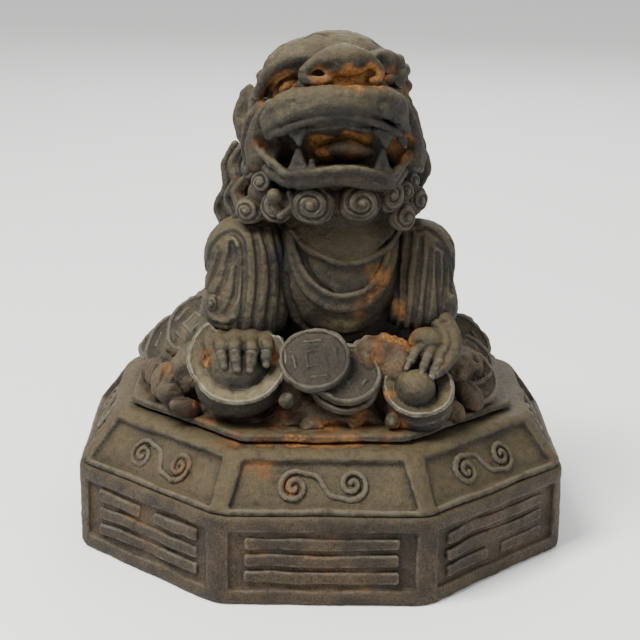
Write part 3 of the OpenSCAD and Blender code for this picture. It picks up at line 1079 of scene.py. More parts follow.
def mound_shape(p):
    """A low heap of rock: a flat-topped cone that is folded and pitted all over."""
    q = wobbled(p, 1.3, 8.0, 51)
    foot, top = 43.0, 31.0
    tall = mound_high[2] - mound_low[2]
    share = (q[:, 2] - mound_low[2]) / tall
    sides = (np.hypot(q[:, 0], q[:, 1]) - (foot + (top - foot) * share)) * 0.7
    d = soft_max(sides, np.abs(q[:, 2] - (mound_low[2] + mound_high[2]) / 2) - tall / 2, 2.0)
    d = soft_min(d, heaps(q), 2.5)
    folds = 1 - 2 * np.abs(noise(q, 4.6, 52))
    crumbs = 0.5 * noise(q, 2.1, 53) + 0.35 * np.abs(noise(q, 1.3, 54))
    return d + 0.9 * np.clip(-folds, -0.5, 1) + crumbs


def boulder(at, radii, turn, seed):
    """A rock like a folded petal: a long lump with a seam along it."""
    place = Place(at, turn)
    body = egg(None, radii, place=place)
    seam = limb(place.outside((-radii[0], 0, radii[2])), place.outside((radii[0], 0, radii[2])), 0.5, 0.5)
    return near(lumpy(cut(body, seam, k=1.2), 0.35, 2.4, seed), at, max(radii))


def left_rocks_shape():
    """Rocks heaped at the left of the large dish."""
    return join(
        boulder((-39.0, -20.5, 42.0), (5.2, 3.0, 3.4), (20, -35, 70), 61),
        boulder((-35.6, -25.0, 42.5), (5.0, 2.6, 3.0), (20, -40, 60), 62),
        boulder((-41.5, -13.0, 41.5), (4.6, 2.8, 3.4), (10, -30, 90), 63),
        boulder((-36.6, -30.5, 42.2), (3.6, 3.0, 2.8), (0, 15, 20), 64),
        boulder((-33.0, -33.5, 39.6), (4.4, 2.6, 2.4), (0, 20, 30), 65),
        boulder((-43.0, -6.5, 40.0), (3.4, 3.0, 3.6), (0, 0, 80), 66),
        boulder((-33.5, -21.0, 46.0), (4.6, 2.6, 3.0), (10, -45, 70), 67),
        boulder((-31.8, -28.0, 44.0), (3.6, 2.2, 3.2), (10, -50, 60), 68), k=0.5)


def right_rocks_shape():
    """Rocks heaped at the right of the small dish."""
    return join(
        boulder((35.6, -26.0, 40.6), (5.2, 3.2, 3.2), (0, 25, -50), 71),
        boulder((40.0, -14.0, 40.0), (4.4, 3.0, 3.4), (0, 15, -80), 72),
        boulder((30.6, -33.0, 39.2), (4.2, 2.6, 2.8), (0, 15, -30), 73),
        boulder((42.0, 3.0, 39.6), (4.0, 3.2, 3.4), (0, 0, 80), 74),
        boulder((39.0, -21.0, 39.6), (3.6, 2.6, 2.6), (0, 30, -60), 75), k=0.5)


cast("rock_mound", mound_shape, voxel=0.6, grit=0.3)
cast("left_rocks", left_rocks_shape(), voxel=0.42, grit=0.18)
cast("right_rocks", right_rocks_shape(), voxel=0.42, grit=0.18)


def pearls_shape():
    """Two pearls that lie apart in front of the dishes, at opposite ends of their node's box."""
    low, high = box("pearls")
    return join(ball((low[0] + 1.9, low[1] + 2.3, high[2] - 1.9), 1.95),
                ball((high[0] - 1.9, low[1] + 1.9, low[2] + 1.9), 1.95))


cast("pearls", lumpy(pearls_shape(), 0.2, 1.6, 44), voxel=0.3)


# ---------------------------------------------------------------- body

BODY_TURN = 8                              # degrees that the body is turned on its pedestal
body = Place((3, -12, float(ground)), (0, 0, BODY_TURN))


def on_body(x, y, z):
    """A point of the body, from how far right of, behind and above its foot it is."""
    return body.outside((x, y, z))


def mirrored(points, side):
    """Body points given for the right side, taken to either side."""
    return [on_body(side * x, y, z) for x, y, z in points]


torso_mass = join(egg(on_body(0, 1.5, 32), (18.4, 16.5, 19), (0, 0, BODY_TURN)),
                  limb(on_body(0, 4, 26), on_body(0, 8, 14), 18.3, 17.5),
                  limb(on_body(0, 10, 30), on_body(0, 32, 22), 17.5, 16.5), k=6)
# Curves of the front view, as (x, z)
COLLAR = [(-7.6, 80.6), (-4.8, 77.8), (0.2, 75.4), (5.4, 74.2), (10.8, 75.0), (15.6, 77.0), (18.4, 79.6)]
BAND_OUTER = [(-8.8, 80.0), (-7.6, 73.4), (-4.8, 67.6), (0.2, 63.7), (5.2, 62.6), (11.0, 64.0), (14.8, 68.0),
              (16.6, 73.0), (17.6, 77.4)]
BELLY_FOOT = [(-9.2, 70), (-7.6, 63.6), (-4.8, 58.4), (0.2, 55.4), (6.0, 54.8), (12.4, 56.6), (16.2, 61.0)]


def torso_shape():
    """The trunk, with a fold where the belly meets the rock and small knobs down the spine."""
    neck_fold = [(-5.6, 79.0), (-4.4, 73.4), (-1.6, 68.9), (2.2, 66.4)]
    folded = cut(torso_mass, furrow(torso_mass, upright(BELLY_FOOT), 1.5),
                 furrow(torso_mass, upright(neck_fold), 0.9, deep=0.1), k=1.2)
    knobs = [ball(land([on_body(0, y, 80)], torso_mass, (0, 0.25, -1), start=0.0)[0], 2.3)
             for y in range(14, 42, 4)]
    return join(folded, *knobs, k=1.2)


def sagging(height, lean):
    """Everything above a surface that sags towards the middle, for the lower edge of the bib."""
    return lambda p: height + lean * (p[:, 0] - 4.8) ** 2 - p[:, 2]


def collar_shape():
    """A bib on the chest, with a cord along its lower edge."""
    bib = common(grown(torso_mass, 1.5), sagging(74.2, 0.040), ball((4, -22, 88), 19), k=0.5)
    return join(bib, ridge_on(grown(torso_mass, 1.5), upright(COLLAR), 0.8), k=0.5)


def chest_band_shape():
    """A flat strip between two cords, hung round the chest."""
    cords = []
    for lift, rise in ((0.0, 0.6), (1.2, 0.1), (2.3, 0.1), (3.4, 0.5)):
        line = [(x * (1 - 0.018 * lift), z + lift) for x, z in BAND_OUTER]
        cords.append(ridge_on(grown(torso_mass, rise), upright(line), 0.8))
    return join(*cords, k=0.8)


cast("torso", seated(lumpy(torso_shape(), 0.3, 2.8, 94), mound_shape, 2.0), voxel=0.5)
cast("chest_collar", collar_shape(), voxel=0.36)
cast("chest_band", chest_band_shape(), voxel=0.36)
cast("neck", limb((2.5, -10, 81.5), (1.5, -8, 95.5), 14.8, 15.2), voxel=0.6)


# Folds down the front of each sleeve, as (x, z) of the front view
LEFT_FLUTES = [
    [(-20.5, 77.0), (-20.7, 71.5), (-21.3, 67.0), (-23.5, 62.5)],
    [(-22.7, 75.0), (-23.8, 70.0), (-26.2, 65.6)],
    [(-25.1, 75.2), (-26.5, 70.6), (-28.0, 67.0)],
    [(-26.9, 74.6), (-28.3, 71.0), (-29.0, 68.0)],
    [(-17.4, 81.4), (-16.2, 78.5), (-15.6, 73.7), (-15.5, 69.3), (-16.2, 63.6), (-17.3, 56.5)],
    [(-15.2, 81.6), (-13.4, 76.8), (-12.5, 71.0), (-12.9, 65.0), (-14.0, 56.5)],
    [(-12.4, 81.0), (-10.9, 76.0), (-10.2, 71.0), (-10.4, 64.0), (-11.0, 57.0)],
]
LEFT_CAP = [(-28.2, 72.0), (-27.3, 76.2), (-25.0, 79.2), (-22.2, 80.5), (-20.0, 79.4), (-19.2, 76.5),
            (-19.0, 72.7), (-19.0, 68.4), (-19.4, 63.7), (-20.3, 56.5)]
left_leg_mass = common(
    join(limb((-19.1, -22.5, 62.5), (-18.6, -18, 72.8), 9.7, 9.7), egg((-19.2, -22.6, 59.4), (9.9, 9.8, 9)),
         limb((-18.6, -16, 73), (-13, -8, 74), 9.4, 8.5), k=4),
    above(56.5), k=1.0)
left_outside = [
    [(0, -22, 74), (0, -19, 69), (0, -19, 62), (0, -22, 57)],
    [(0, -17, 77), (0, -14, 70), (0, -14, 63), (0, -17, 57)],
    [(0, -11, 78), (0, -9.5, 71), (0, -10, 64), (0, -12, 58)],
]


def left_leg_shape():
    """The left foreleg: a sleeve with a looped fold and flutes down its front and side."""
    return cut(
        left_leg_mass,
        furrow(left_leg_mass, upright(LEFT_CAP), 1.25, deep=0.15),
        *[furrow(left_leg_mass, upright(flute), 1.15, deep=0.1) for flute in LEFT_FLUTES],
        *[furrow(left_leg_mass, flute, 1.2, way=(1, 0, 0), deep=0.1) for flute in left_outside],
        furrow(left_leg_mass, upright([(-22.1, 78.0), (-21.8, 76.0), (-22.0, 74.2)]), 1.9, deep=0.3), k=0.8)


def left_tuft_shape():
    """A curl and two locks behind the left wrist."""
    return join(snail((-26.3, -29.6, 64.6), 2.1, (-0.5, -1, 0.1), hand=-1, stretch=0.75),
                ridge_on(left_leg_mass, upright([(-28.4, 66), (-26.6, 61.4), (-23.6, 60.6), (-21.4, 61.9)]),
                         0.8),
                ridge_on(left_leg_mass, upright([(-28.8, 62.6), (-26.2, 59.6), (-23.0, 59.2)]), 0.8), k=0.4)


RIGHT_FLUTES = [
    [(18.6, 80.6), (18.0, 74.0), (17.6, 66.0), (17.4, 57.0)],
    [(21.0, 79.6), (20.1, 73.4), (19.5, 66.6), (19.2, 57.0)],
    [(23.6, 78.6), (23.1, 73.2), (22.3, 65.9), (21.4, 57.0)],
    [(25.9, 76.0), (25.6, 70.4), (24.9, 64.9), (24.3, 57.6)],
    [(27.4, 75.0), (27.8, 68.1), (28.2, 60.5)],
    [(29.5, 74.2), (29.7, 68.8), (28.9, 64.0)],
]
RIGHT_CAP = [(22.6, 80.0), (25.0, 80.3), (28.4, 78.0), (30.6, 73.2), (31.2, 67.0), (30.4, 61.5)]
right_leg_mass = common(
    join(limb((24.2, -19, 62), (24, -14.3, 72.8), 7.9, 7.9), egg((24, -18.5, 60.5), (8.1, 8, 8)),
         limb((23.6, -13, 73), (17, -6, 73), 7.7, 8), k=4),
    above(56.6), k=1.5)
right_outside = [[(0, y - 3, 77), (0, y, 70), (0, y, 63), (0, y - 2, 57)] for y in (-17.5, -13, -8.5)]


def right_leg_shape():
    """The right foreleg: a sleeve with flutes down its front and side."""
    return cut(
        right_leg_mass,
        furrow(right_leg_mass, upright(RIGHT_CAP), 1.2, deep=0.15),
        *[furrow(right_leg_mass, upright(flute), 1.15, deep=0.15) for flute in RIGHT_FLUTES],
        *[furrow(right_leg_mass, flute, 1.2, way=(-1, 0, 0), deep=0.1) for flute in right_outside], k=0.8)


def right_tuft_shape():
    """Two locks behind the right wrist."""
    return join(ridge_on(right_leg_mass, upright([(30.6, 64.5), (30.9, 61.5), (28.6, 58.6)]), 1.3),
                ridge_on(right_leg_mass, upright([(31.2, 62.6), (31.0, 60.2), (29.8, 57.6)]), 0.9), k=0.4)


cast("left_foreleg", join(left_leg_shape(), left_tuft_shape(), k=0.5), voxel=0.38)
cast("right_foreleg", join(right_leg_shape(), right_tuft_shape(), k=0.5), voxel=0.38)


def toe(knuckle, joint, width):
    """A toe: a long bulging finger with a crease behind its last joint."""
    knuckle, joint = vec(knuckle), vec(joint)
    waist = knuckle + 0.62 * (joint - knuckle)
    return join(limb(knuckle, waist, 1.05 * width, 0.92 * width),
                limb(waist, joint, 0.88 * width, 0.98 * width), k=0.3)


def nail(root, tip, width):
    """A claw: a long drop, thick where it leaves the toe."""
    root, tip = vec(root), vec(tip)
    bend = root + 0.45 * (tip - root)
    return join(limb(root, bend, width, 0.96 * width), limb(bend, tip, 0.96 * width, 0.68 * width), k=0.3)


# Each toe's knuckle, last joint and claw tip
LEFT_TOES = [((-24.8, -31.6, 56.6), (-23.9, -38.2, 55.9), (-23.2, -41.6, 52.7)),
             ((-21.2, -32.2, 57.1), (-20.8, -39.2, 56.3), (-20.3, -42.6, 52.3)),
             ((-17.2, -32.2, 57.1), (-17.0, -39.2, 56.1), (-17.3, -42.4, 52.1)),
             ((-13.9, -31.0, 56.4), (-13.7, -37.6, 55.9), (-13.6, -40.6, 52.9))]


def left_paw_shape():
    """The left paw: four toes, the back of the paw and a thumb at its outer side."""
    return join(*[toe(knuckle, joint, 2.0) for knuckle, joint, _ in LEFT_TOES],
                egg((-19.2, -33.0, 56.4), (7.8, 4.6, 2.4)),
                strand([(-27.6, -28.0, 58.6), (-27.2, -32.6, 56.2), (-25.8, -37.0, 52.6)], (2.4, 1.7)),
                egg((-19.4, -30.0, 54.4), (8.4, 6.0, 3.2)), k=0.6)


def left_claws_shape():
    """One claw at the end of each toe of the left paw."""
    return join(*[nail(joint + vec(0, -1.3, -1.0), tip, 1.45) for _, joint, tip in LEFT_TOES])


cast("left_paw", left_paw_shape(), voxel=0.32)
cast("left_claws", left_claws_shape(), voxel=0.28)

RIGHT_TOES = [((24.0, -31.6, 54.6), (21.8, -35.0, 54.2), (19.6, -39.0, 51.4)),
              ((26.2, -31.8, 54.2), (24.6, -36.0, 53.2), (22.8, -40.4, 50.6)),
              ((28.2, -31.6, 53.6), (27.2, -36.4, 52.2), (25.4, -40.4, 50.0))]


def right_paw_shape():
    """The right paw: three toes, with the outer ones lying along its edge."""
    return join(*[toe(knuckle, joint, 1.55) for knuckle, joint, _ in RIGHT_TOES],
                egg((25.0, -30.0, 55.2), (4.6, 3.6, 3.8), (0, 10, 0)),
                strand([(29.4, -26.0, 59.6), (31.2, -29.0, 56.4), (31.0, -32.0, 53.2), (28.8, -36.0, 51.2),
                        (26.4, -39.4, 50.2)], (2.2, 2.0, 1.8, 1.4, 1.0)),
                strand([(27.6, -27.0, 58.6), (29.2, -30.4, 56.0), (28.8, -33.0, 53.8)], (1.8, 1.6, 1.2)),
                k=0.4)


def right_claws_shape():
    """One claw at the end of each inner toe of the right paw."""
    return join(*[nail(joint + vec(-0.4, -0.8, -0.5), tip, 1.2) for _, joint, tip in RIGHT_TOES])


cast("right_paw", right_paw_shape(), voxel=0.32)
cast("right_claws", right_claws_shape(), voxel=0.28)


def haunch(side):
    """A thigh with a big spiral on its outer face and a fold behind the spiral."""
    mass = join(limb(*mirrored([(15, 32, 17), (19, 18, 12)], side), 13, 10),
                egg(on_body(side * 18, 22, 17), (9, 14, 13), (0, 0, BODY_TURN)), k=3)
    outward = on_body(side, 0, 0) - on_body(0, 0, 0)
    whorl = snail(on_body(side * 23.6, 23, 19), 7.5, outward, hand=side, height=0.6, winds=2.6)
    folds = []
    for i in (0, 1):
        line = [(0, 32 - 3.5 * i, 30 - 2 * i), (0, 37 - 3.5 * i, 22), (0, 34 - 3.5 * i, 10)]
        folds.append(furrow(mass, mirrored(line, side), 1.4, way=-outward))
    return join(cut(mass, *folds, k=1.4), whorl, k=1.0)


def hind_paw(side):
    """A hind foot that lies flat, with three toes."""
    toes = [toe(*mirrored([(22 + 2.6 * i, 6, 5.6), (23 + 2.9 * i, -0.4, 2.8)], side), 1.9)
            for i in (-1, 0, 1)]
    return join(limb(*mirrored([(22, 16, 4.6), (22.6, 5, 4)], side), 5, 4), *toes, k=1.0)


def wing(side):
    """Feathers swept back from the shoulder in layers, laid on a swelling of the flank."""
    swelling = egg(on_body(side * 14.6, 13, 33), (8.0, 20, 9.6), (14, 0, BODY_TURN + side * 3))
    inward = on_body(-side, 0, 0) - on_body(0, 0, 0)
    feathers = []
    for row in range(6):
        top = 40.5 - 3.2 * row
        path = mirrored([(0, -3 - 0.3 * row, top - 2.0), (0, 5, top + 0.6), (0, 16, top + 1.4),
                         (0, 28 - 1.6 * row, top + 4.6)], side)
        feathers.append(ridge_on(swelling, path, 1.9, way=inward, sunk=0.1))
    curl = snail(on_body(side * 21.2, -2.0, 37.5), 3.2, -inward + vec(0, -0.4, 0.3), hand=side)
    return common(join(swelling, *feathers, curl, k=0.5), lambda p: 6 - side * body.inside(p)[:, 0], k=0.5)


for side, name in ((-1, "left"), (1, "right")):
    cast(f"{name}_haunch", haunch(side), voxel=0.5)
    cast(f"{name}_hind_paw", hind_paw(side), voxel=0.42)
    cast(f"{name}_wing", wing(side), voxel=0.45)


def tail_shape():
    """A bushy tail against the back: a grooved plume with curls down both sides and a rolled tip."""
    outward = on_body(0, 1, 0.2) - on_body(0, 0, 0)
    foot, bend, tip = on_body(0, 40, 7), on_body(0, 42, 24), on_body(0, 41, 39)
    plume = join(limb(foot, bend, 7.6, 7.4), limb(bend, tip, 7.4, 3.0), k=4)
    grooves = []
    for across in (-3, -1.5, 0, 1.5, 3):
        line = [on_body(spread * across, 70, z) for spread, z in ((0.8, 5), (1.5, 16), (1.4, 27), (0.6, 38))]
        grooves.append(furrow(plume, line, 1.5, way=(0, -1, 0)))
    curls = [snail(on_body(side * across, 44.6 - 0.25 * across, z), radius, outward, hand=side)
             for side in (-1, 1)
             for across, z, radius in ((8.4, 9, 3.8), (8.2, 18, 3.8), (7.4, 27, 3.6), (4.8, 34.5, 3.4))]
    roll = snail(on_body(0, 43.6, 41.5), 3.4, outward)
    return join(cut(plume, *grooves, k=1.2), *curls, roll, k=0.6)


cast("tail", tail_shape(), voxel=0.42)


# ---------------------------------------------------------------- head

HEAD_PITCH = 28                            # degrees that the head is raised
HEAD_TURN = 5                              # degrees that the head is turned
head = Place(middle("skull") + vec(0.54, 1.10, -2.18), (-HEAD_PITCH, 0, HEAD_TURN))


def on_head(x, forward, z):
    """A point of the head, from how far right, forward and up it is."""
    return head.outside((x, -forward, z))


def traced(points):
    """Points of the head, given as (right, forward, up)."""
    return [on_head(*point) for point in points]


def head_strand(points, radii):
    """A round strand through points of the head."""
    return strand(traced(points), radii)


def head_egg(x, forward, z, radii, turn=(0, 0, 0)):
    """An egg whose own directions are the head's, turned further about its middle."""
    place = Place(on_head(x, forward, z))
    place.axes = head.axes @ turned(*turn)
    return egg(None, radii, place=place)


cranium = join(head_egg(-0.1, 2, 3.2, (17.4, 18, 16.4)), head_egg(0, -3, -3, (16.5, 15, 16)),
               head_egg(-2, 11, 9.0, (12.5, 8, 7.0)), head_egg(-11.2, 7.0, 8.6, (6.6, 9, 5.6)), k=3)
mouth = join(head_egg(-1.0, 16.5, -13.0, (14.6, 9.0, 4.2)),
             head_egg(-16.0, 11, -11.0, (4.8, 4.6, 2.2), (0, 35, 0)),
             head_egg(13.6, 10.5, -11.4, (4.4, 4.6, 2.8), (0, -30, 0)), k=1.5)
eye_hollows = [head_egg(-14.0, 15.5, 3.6, (5.4, 4.6, 2.1), (0, -32, 0)),
               head_egg(12.2, 15.5, 4.9, (4.0, 4.0, 2.6), (0, 20, 0))]
left_face = join(
    cranium,
    head_strand([(-16.6, 12.6, -0.6), (-19.4, 10.0, -3.6), (-20.8, 7.8, -7.8), (-20.6, 6.0, -12.5)],
                (1.1, 1.4)),
    head_strand([(-18.4, 8.2, 0.6), (-21.0, 6.4, -2.8), (-22.0, 4.6, -7.4), (-21.6, 3.2, -13.0)], (1.2, 1.5)),
    head_egg(-17.6, 4.0, -7.4, (4.2, 6.4, 8.0)), k=2.2)


def whole_face():
    """The cranium with a cheekbone, two folds and a jowl on each side."""
    return join(
        left_face,
        head_strand([(15.0, 12.0, -1.0), (17.0, 9.0, -4.6), (18.0, 6.6, -9.0), (17.8, 5, -13.6)], (1.2, 1.5)),
        head_strand([(16.2, 7.8, 0.6), (18.4, 5.6, -4.2), (19.4, 3.6, -9.6), (19.0, 2.6, -13.8)], (1.2, 1.5)),
        head_egg(14.6, 4.0, -7.0, (4.4, 6.4, 8.0)), k=2.2)


def face_furrows():
    """Wrinkles on the forehead and folds down the left cheek."""
    backward = head.outside((0, 1, 0)) - head.at
    wrinkles = ([(-9.2, 30, 13.8), (-6.2, 30, 15.0), (-3.4, 30, 14.6)],
                [(7.6, 30, 13.6), (9.6, 30, 12.2), (10.6, 30, 10.8)])
    inward = head.outside((1, 0.2, 0)) - head.at
    folds = ([(-40, 12.6, -2.8), (-40, 10.2, -6.4), (-40, 8.6, -9.6), (-40, 8.0, -13)],
             [(-40, 8.6, -2.2), (-40, 6.4, -6.0), (-40, 5.4, -10.6)])
    return [*[furrow(cranium, traced(wrinkle), 1.0, way=backward) for wrinkle in wrinkles],
            *[furrow(left_face, traced(fold), 1.0, way=inward) for fold in folds]]


def curl_on(shape, centre, bearing, rise, radius, hand):
    """A curl on a rounded shape, where a line from its centre leaves it.

    The line's bearing is measured from the back and its rise from the level, both in degrees.
    """
    across, up = math.radians(bearing), math.radians(rise)
    way = vec(math.sin(across) * math.cos(up), math.cos(across) * math.cos(up), math.sin(up))
    at = land([centre + 40 * way], shape, -way, start=0.0)[0]
    return snail(at - 0.3 * radius * way, radius, way, hand=hand, height=0.75)


def curl_rows(shape, centre, rows, radius):
    """Rows of curls round the back of a shape, each row offset from the last: (rise, how many, spread)."""
    curls = []
    for row, (rise, count, spread) in enumerate(rows):
        for number in range(count):
            bearing = spread * ((number + 0.5 * (row % 2)) / (count - 0.5) - 0.5)
            curls.append(curl_on(shape, centre, bearing, rise, radius, (-1) ** (number + row)))
    return curls


def skull_shape():
    """The head without its jaws: cheeks, hollows for the eyes and the mouth, and curls on the crown."""
    crown = curl_rows(cranium, head.at, ((52, 4, 84), (36, 6, 140), (16, 7, 160), (-6, 7, 160)), 3.7)
    face = cut(whole_face(), *eye_hollows, mouth, k=1.4)
    return join(cut(face, *face_furrows(), k=0.9), *crown, k=0.6)


LEFT_BROW = [(-6.6, 19.0, 6.6), (-9.2, 18.8, 8.0), (-12.0, 17.6, 8.0), (-15.2, 15.6, 6.9), (-17.8, 12.6, 4.9),
             (-19.4, 9.6, 2.3)]
RIGHT_BROW = [(6.6, 18.6, 7.8), (9.0, 17.4, 9.2), (12.2, 14.8, 9.4), (14.8, 10.6, 7.6)]
# Tufts of the brows: (right, forward, up) and radius
LEFT_TUFTS = [(-10.0, 17.2, 8.8, 1.7), (-13.2, 15.8, 8.8, 1.9), (-15.9, 13.6, 7.9, 2.0),
              (-17.9, 10.9, 6.0, 1.9), (-19.1, 8.4, 3.2, 1.6)]
RIGHT_TUFTS = [(10.4, 15.6, 8.7, 2.4), (13.3, 13.0, 9.1, 2.1), (13.8, 12.2, 6.0, 2.1), (15.4, 9.2, 8.2, 1.9),
               (15.9, 8.6, 4.9, 1.8)]


def brow(line, radii, tufts, k):
    """A heavy brow: a strand with round tufts along it."""
    return join(head_strand(line, radii), *[ball(on_head(*at), radius) for *at, radius in tufts], k=k)


def eyes_shape():
    """Two eyeballs that look out from under the brows."""
    return join(head_egg(-12.0, 12.3, 3.5, (2.8, 2.0, 1.4), (0, -30, 0)),
                head_egg(10.8, 13.5, 4.7, (2.0, 2.0, 1.5)))


nostrils = [head_egg(-4.9, 24.4, 3.6, (2.3, 2.0, 1.1), (0, -12, 0)),
            head_egg(5.0, 24.2, 3.7, (2.0, 2.0, 1.1), (0, 12, 0))]


def nose_shape():
    """A broad snub nose: a bridge and two curled wings round the nostrils."""
    return cut(
        join(head_egg(-0.2, 21.6, 6.2, (6.6, 4.4, 3.6)), head_egg(-0.2, 17, 7.6, (5.4, 7, 3.6)),
             head_strand([(-2.6, 23.2, 7.2), (-6.6, 22.2, 6.0), (-9.0, 20.6, 4.0), (-8.8, 20.2, 2.2),
                          (-6.0, 20.8, 1.7), (-3.6, 20.8, 2.2)], (1.2, 1.4, 1.5, 1.2, 0.8)),
             head_strand([(3.0, 23.0, 7.0), (6.0, 22.0, 6.2), (8.0, 20.2, 4.6), (8.0, 20.0, 2.6),
                          (6.2, 20.6, 1.9)], (1.1, 1.2, 1.3, 1.1, 0.7)), k=1.4),
        *nostrils, k=0.9)


# Curves of the jaws, as (right, forward, up)
MUZZLE = [(-16.6, 12.4, -5.0), (-14.2, 16.0, -3.4), (-10.8, 18.8, -2.7), (-6.0, 20.9, -3.0),
          (-0.4, 21.8, -3.4), (5.4, 20.7, -3.0), (9.6, 18.2, -2.3), (12.2, 15.2, -2.8), (13.6, 11.8, -4.4)]
LIP = [(-17.6, 13.6, -7.4), (-14.2, 18.4, -6.4), (-9.6, 21.6, -5.6), (-1.0, 23.4, -5.4), (7.0, 21.4, -5.5),
       (12.2, 17.0, -6.2), (14.8, 12.4, -7.6)]
UNDER_LIP = [(-17.4, 12.6, -8.8), (-14.4, 16.9, -8.9), (-9.8, 20.0, -8.0), (-5.5, 21.6, -7.5),
             (-1.0, 22.2, -7.4), (3.6, 21.8, -7.6), (8.0, 19.2, -8.2), (12.6, 14.7, -9.0), (14.2, 12.2, -9.4)]
muzzle = cut(join(head_strand(MUZZLE, (2.6, 3.2, 3.5, 3.6, 3.6, 3.5, 3.4, 2.8, 2.3)),
                  head_egg(-0.6, 14, -3.0, (12.4, 7.6, 3.6)), k=2.4),
             head_strand([(-7.6, 20.6, 2.2), (-0.4, 21.8, 1.6), (6.8, 20.6, 2.4)], (1.4, 1.8, 1.4)), k=1.6)


def upper_jaw_shape():
    """The muzzle with its thick lip, an inner lip, the palate and the gum."""
    return join(
        join(muzzle, head_strand(LIP, (1.1, 1.4, 1.4, 1.3, 1.4, 1.3, 1.1)), k=1.8),
        head_strand(UNDER_LIP, (0.9, 1.1, 1.0, 1.0, 1.0, 1.0, 1.0, 0.9, 0.8)),
        head_egg(-0.8, 11.5, -7.2, (13.4, 8.4, 1.6)),
        head_strand([(-8.2, 16.4, -8.2), (-1.0, 18.0, -7.8), (6.0, 16.4, -8.6)], (0.9, 1.1, 0.9)), k=0.45)


LOWER_LIP = [(-20.0, 7.4, -9.6), (-18.2, 9.0, -12.4), (-15.6, 11.6, -15.8), (-13.0, 13.6, -18.2),
             (-7.5, 15.6, -18.5), (-0.5, 16.4, -18.0), (7.2, 14.8, -18.7), (10.8, 12.4, -19.2),
             (12.8, 10.4, -16.8), (14.6, 8.6, -14.0), (16.8, 6.4, -10.6)]
CHIN = [(-17.0, 6.4, -14.8), (-13.0, 10.6, -18.8), (-7.0, 12.8, -19.4), (-0.4, 13.6, -19.2),
        (6.8, 12.0, -19.8), (10.8, 9.2, -19.4), (14.2, 5.4, -15.2)]


def lower_jaw_shape():
    """The chin and its floor, with a lip that rises to the corners of the mouth."""
    return join(
        join(head_strand(CHIN, (1.7, 2.0, 2.1, 2.1, 2.1, 2.0, 1.7)),
             head_egg(-1.2, 5, -18.4, (13.6, 8.8, 2.6)), k=1.5),
        head_strand(LOWER_LIP, (0.9, 1.0, 1.0, 1.1, 1.0, 1.0, 1.0, 1.1, 1.0, 1.0, 0.9)), k=0.9)


def tongue_shape():
    """A tongue with a raised edge, and its root."""
    return join(head_egg(0.4, 9.5, -12.6, (6.8, 6.0, 1.7)),
                head_strand([(-5.6, 11.2, -12.4), (0.4, 14.4, -11.8), (6.4, 11.2, -12.6)], (1.1, 1.4, 1.1)),
                head_egg(0, 7, -16.4, (10, 6, 1.6)), k=0.8)


def fang(root_left, root_right, tip, thick):
    """A flat-sided tooth between two points of the gum and its tip."""
    return join(limb(on_head(*root_left), on_head(*tip), thick, 0.5 * thick),
                limb(on_head(*root_right), on_head(*tip), thick, 0.5 * thick),
                limb(on_head(*root_left), on_head(*root_right), thick, thick), k=0.8)


def upper_fangs_shape():
    """Two fangs and one small tooth in the upper jaw."""
    return join(
        fang((-11.8, 16.8, -9.2), (-9.8, 17.6, -9.0), (-10.6, 17.4, -12.0), 1.05),
        fang((7.4, 17.4, -9.2), (10.2, 16.4, -9.6), (9.3, 16.8, -12.4), 1.05),
        fang((13.2, 13.4, -9.8), (14.2, 12.4, -10.2), (14.4, 12.6, -11.6), 0.7))


def lower_fangs_shape():
    """Two fangs and one small tooth in the lower jaw."""
    return join(
        fang((-12.4, 12.8, -17.6), (-9.4, 13.8, -17.8), (-10.7, 14.4, -13.2), 1.15),
        fang((7.6, 13.2, -18.0), (10.4, 11.8, -18.2), (8.9, 13.8, -12.8), 1.15),
        fang((-7.9, 14.2, -17.6), (-7.5, 14.4, -17.6), (-7.7, 14.8, -15.8), 0.8))


cast("skull", lumpy(skull_shape(), 0.3, 2.6, 91), voxel=0.4)
left_brow = brow(LEFT_BROW, (1.1, 1.4, 1.6, 1.6, 1.5, 1.2), LEFT_TUFTS, k=0.9)
right_brow = brow(RIGHT_BROW, (1.0, 1.6), RIGHT_TUFTS, k=0.7)
cast("left_brow", seated(left_brow, cranium, 2.2), voxel=0.34)
cast("right_brow", seated(right_brow, cranium, 1.4), voxel=0.34)
cast("eyes", eyes_shape(), voxel=0.3)
cast("nose", seated(nose_shape(), cranium, 0.8), voxel=0.32)
cast("upper_jaw", lumpy(upper_jaw_shape(), 0.22, 2.2, 92), voxel=0.34)
cast("lower_jaw", lumpy(lower_jaw_shape(), 0.2, 2.0, 93), voxel=0.34)
cast("tongue", tongue_shape(), voxel=0.34)
cast("upper_fangs", upper_fangs_shape(), voxel=0.28)
cast("lower_fangs", lower_fangs_shape(), voxel=0.28)


def ear(root, tip, outward, lean):
    """A leaf-shaped ear with a groove down its face."""
    root, tip = vec(root), vec(tip)
    along = unit(tip - root)
    side = unit(np.cross(along, vec(outward)))
    face = np.cross(side, along)
    place = Place((root + tip) / 2, axes=(side, along, face))
    leaf = egg(None, (3.2, float(np.linalg.norm(tip - root)) / 2, 2.3), place=place)
    buried = root - 2.4 * unit(vec(outward) * (1, 0, 0)) - (0, 0, 1.0)
    foot = limb(root + 0.35 * (tip - root), buried, 2.6, 3.4)
    groove_line = ((lean, 4.5, 2.6), (0.2 * lean, 0.5, 2.2), (lean, -4.5, 2.2))
    groove = strand([place.outside(point) for point in groove_line], (0.7, 1.3, 0.7))
    fold_line = ((-1.6, 5.6, 0.8), (-2.8, 0, 1.2), (-1.6, -5.2, 0.8))
    fold = strand([place.outside(point) for point in fold_line], (0.8, 1.1, 0.8))
    return join(cut(leaf, groove, k=1.2), fold, foot, k=0.8)


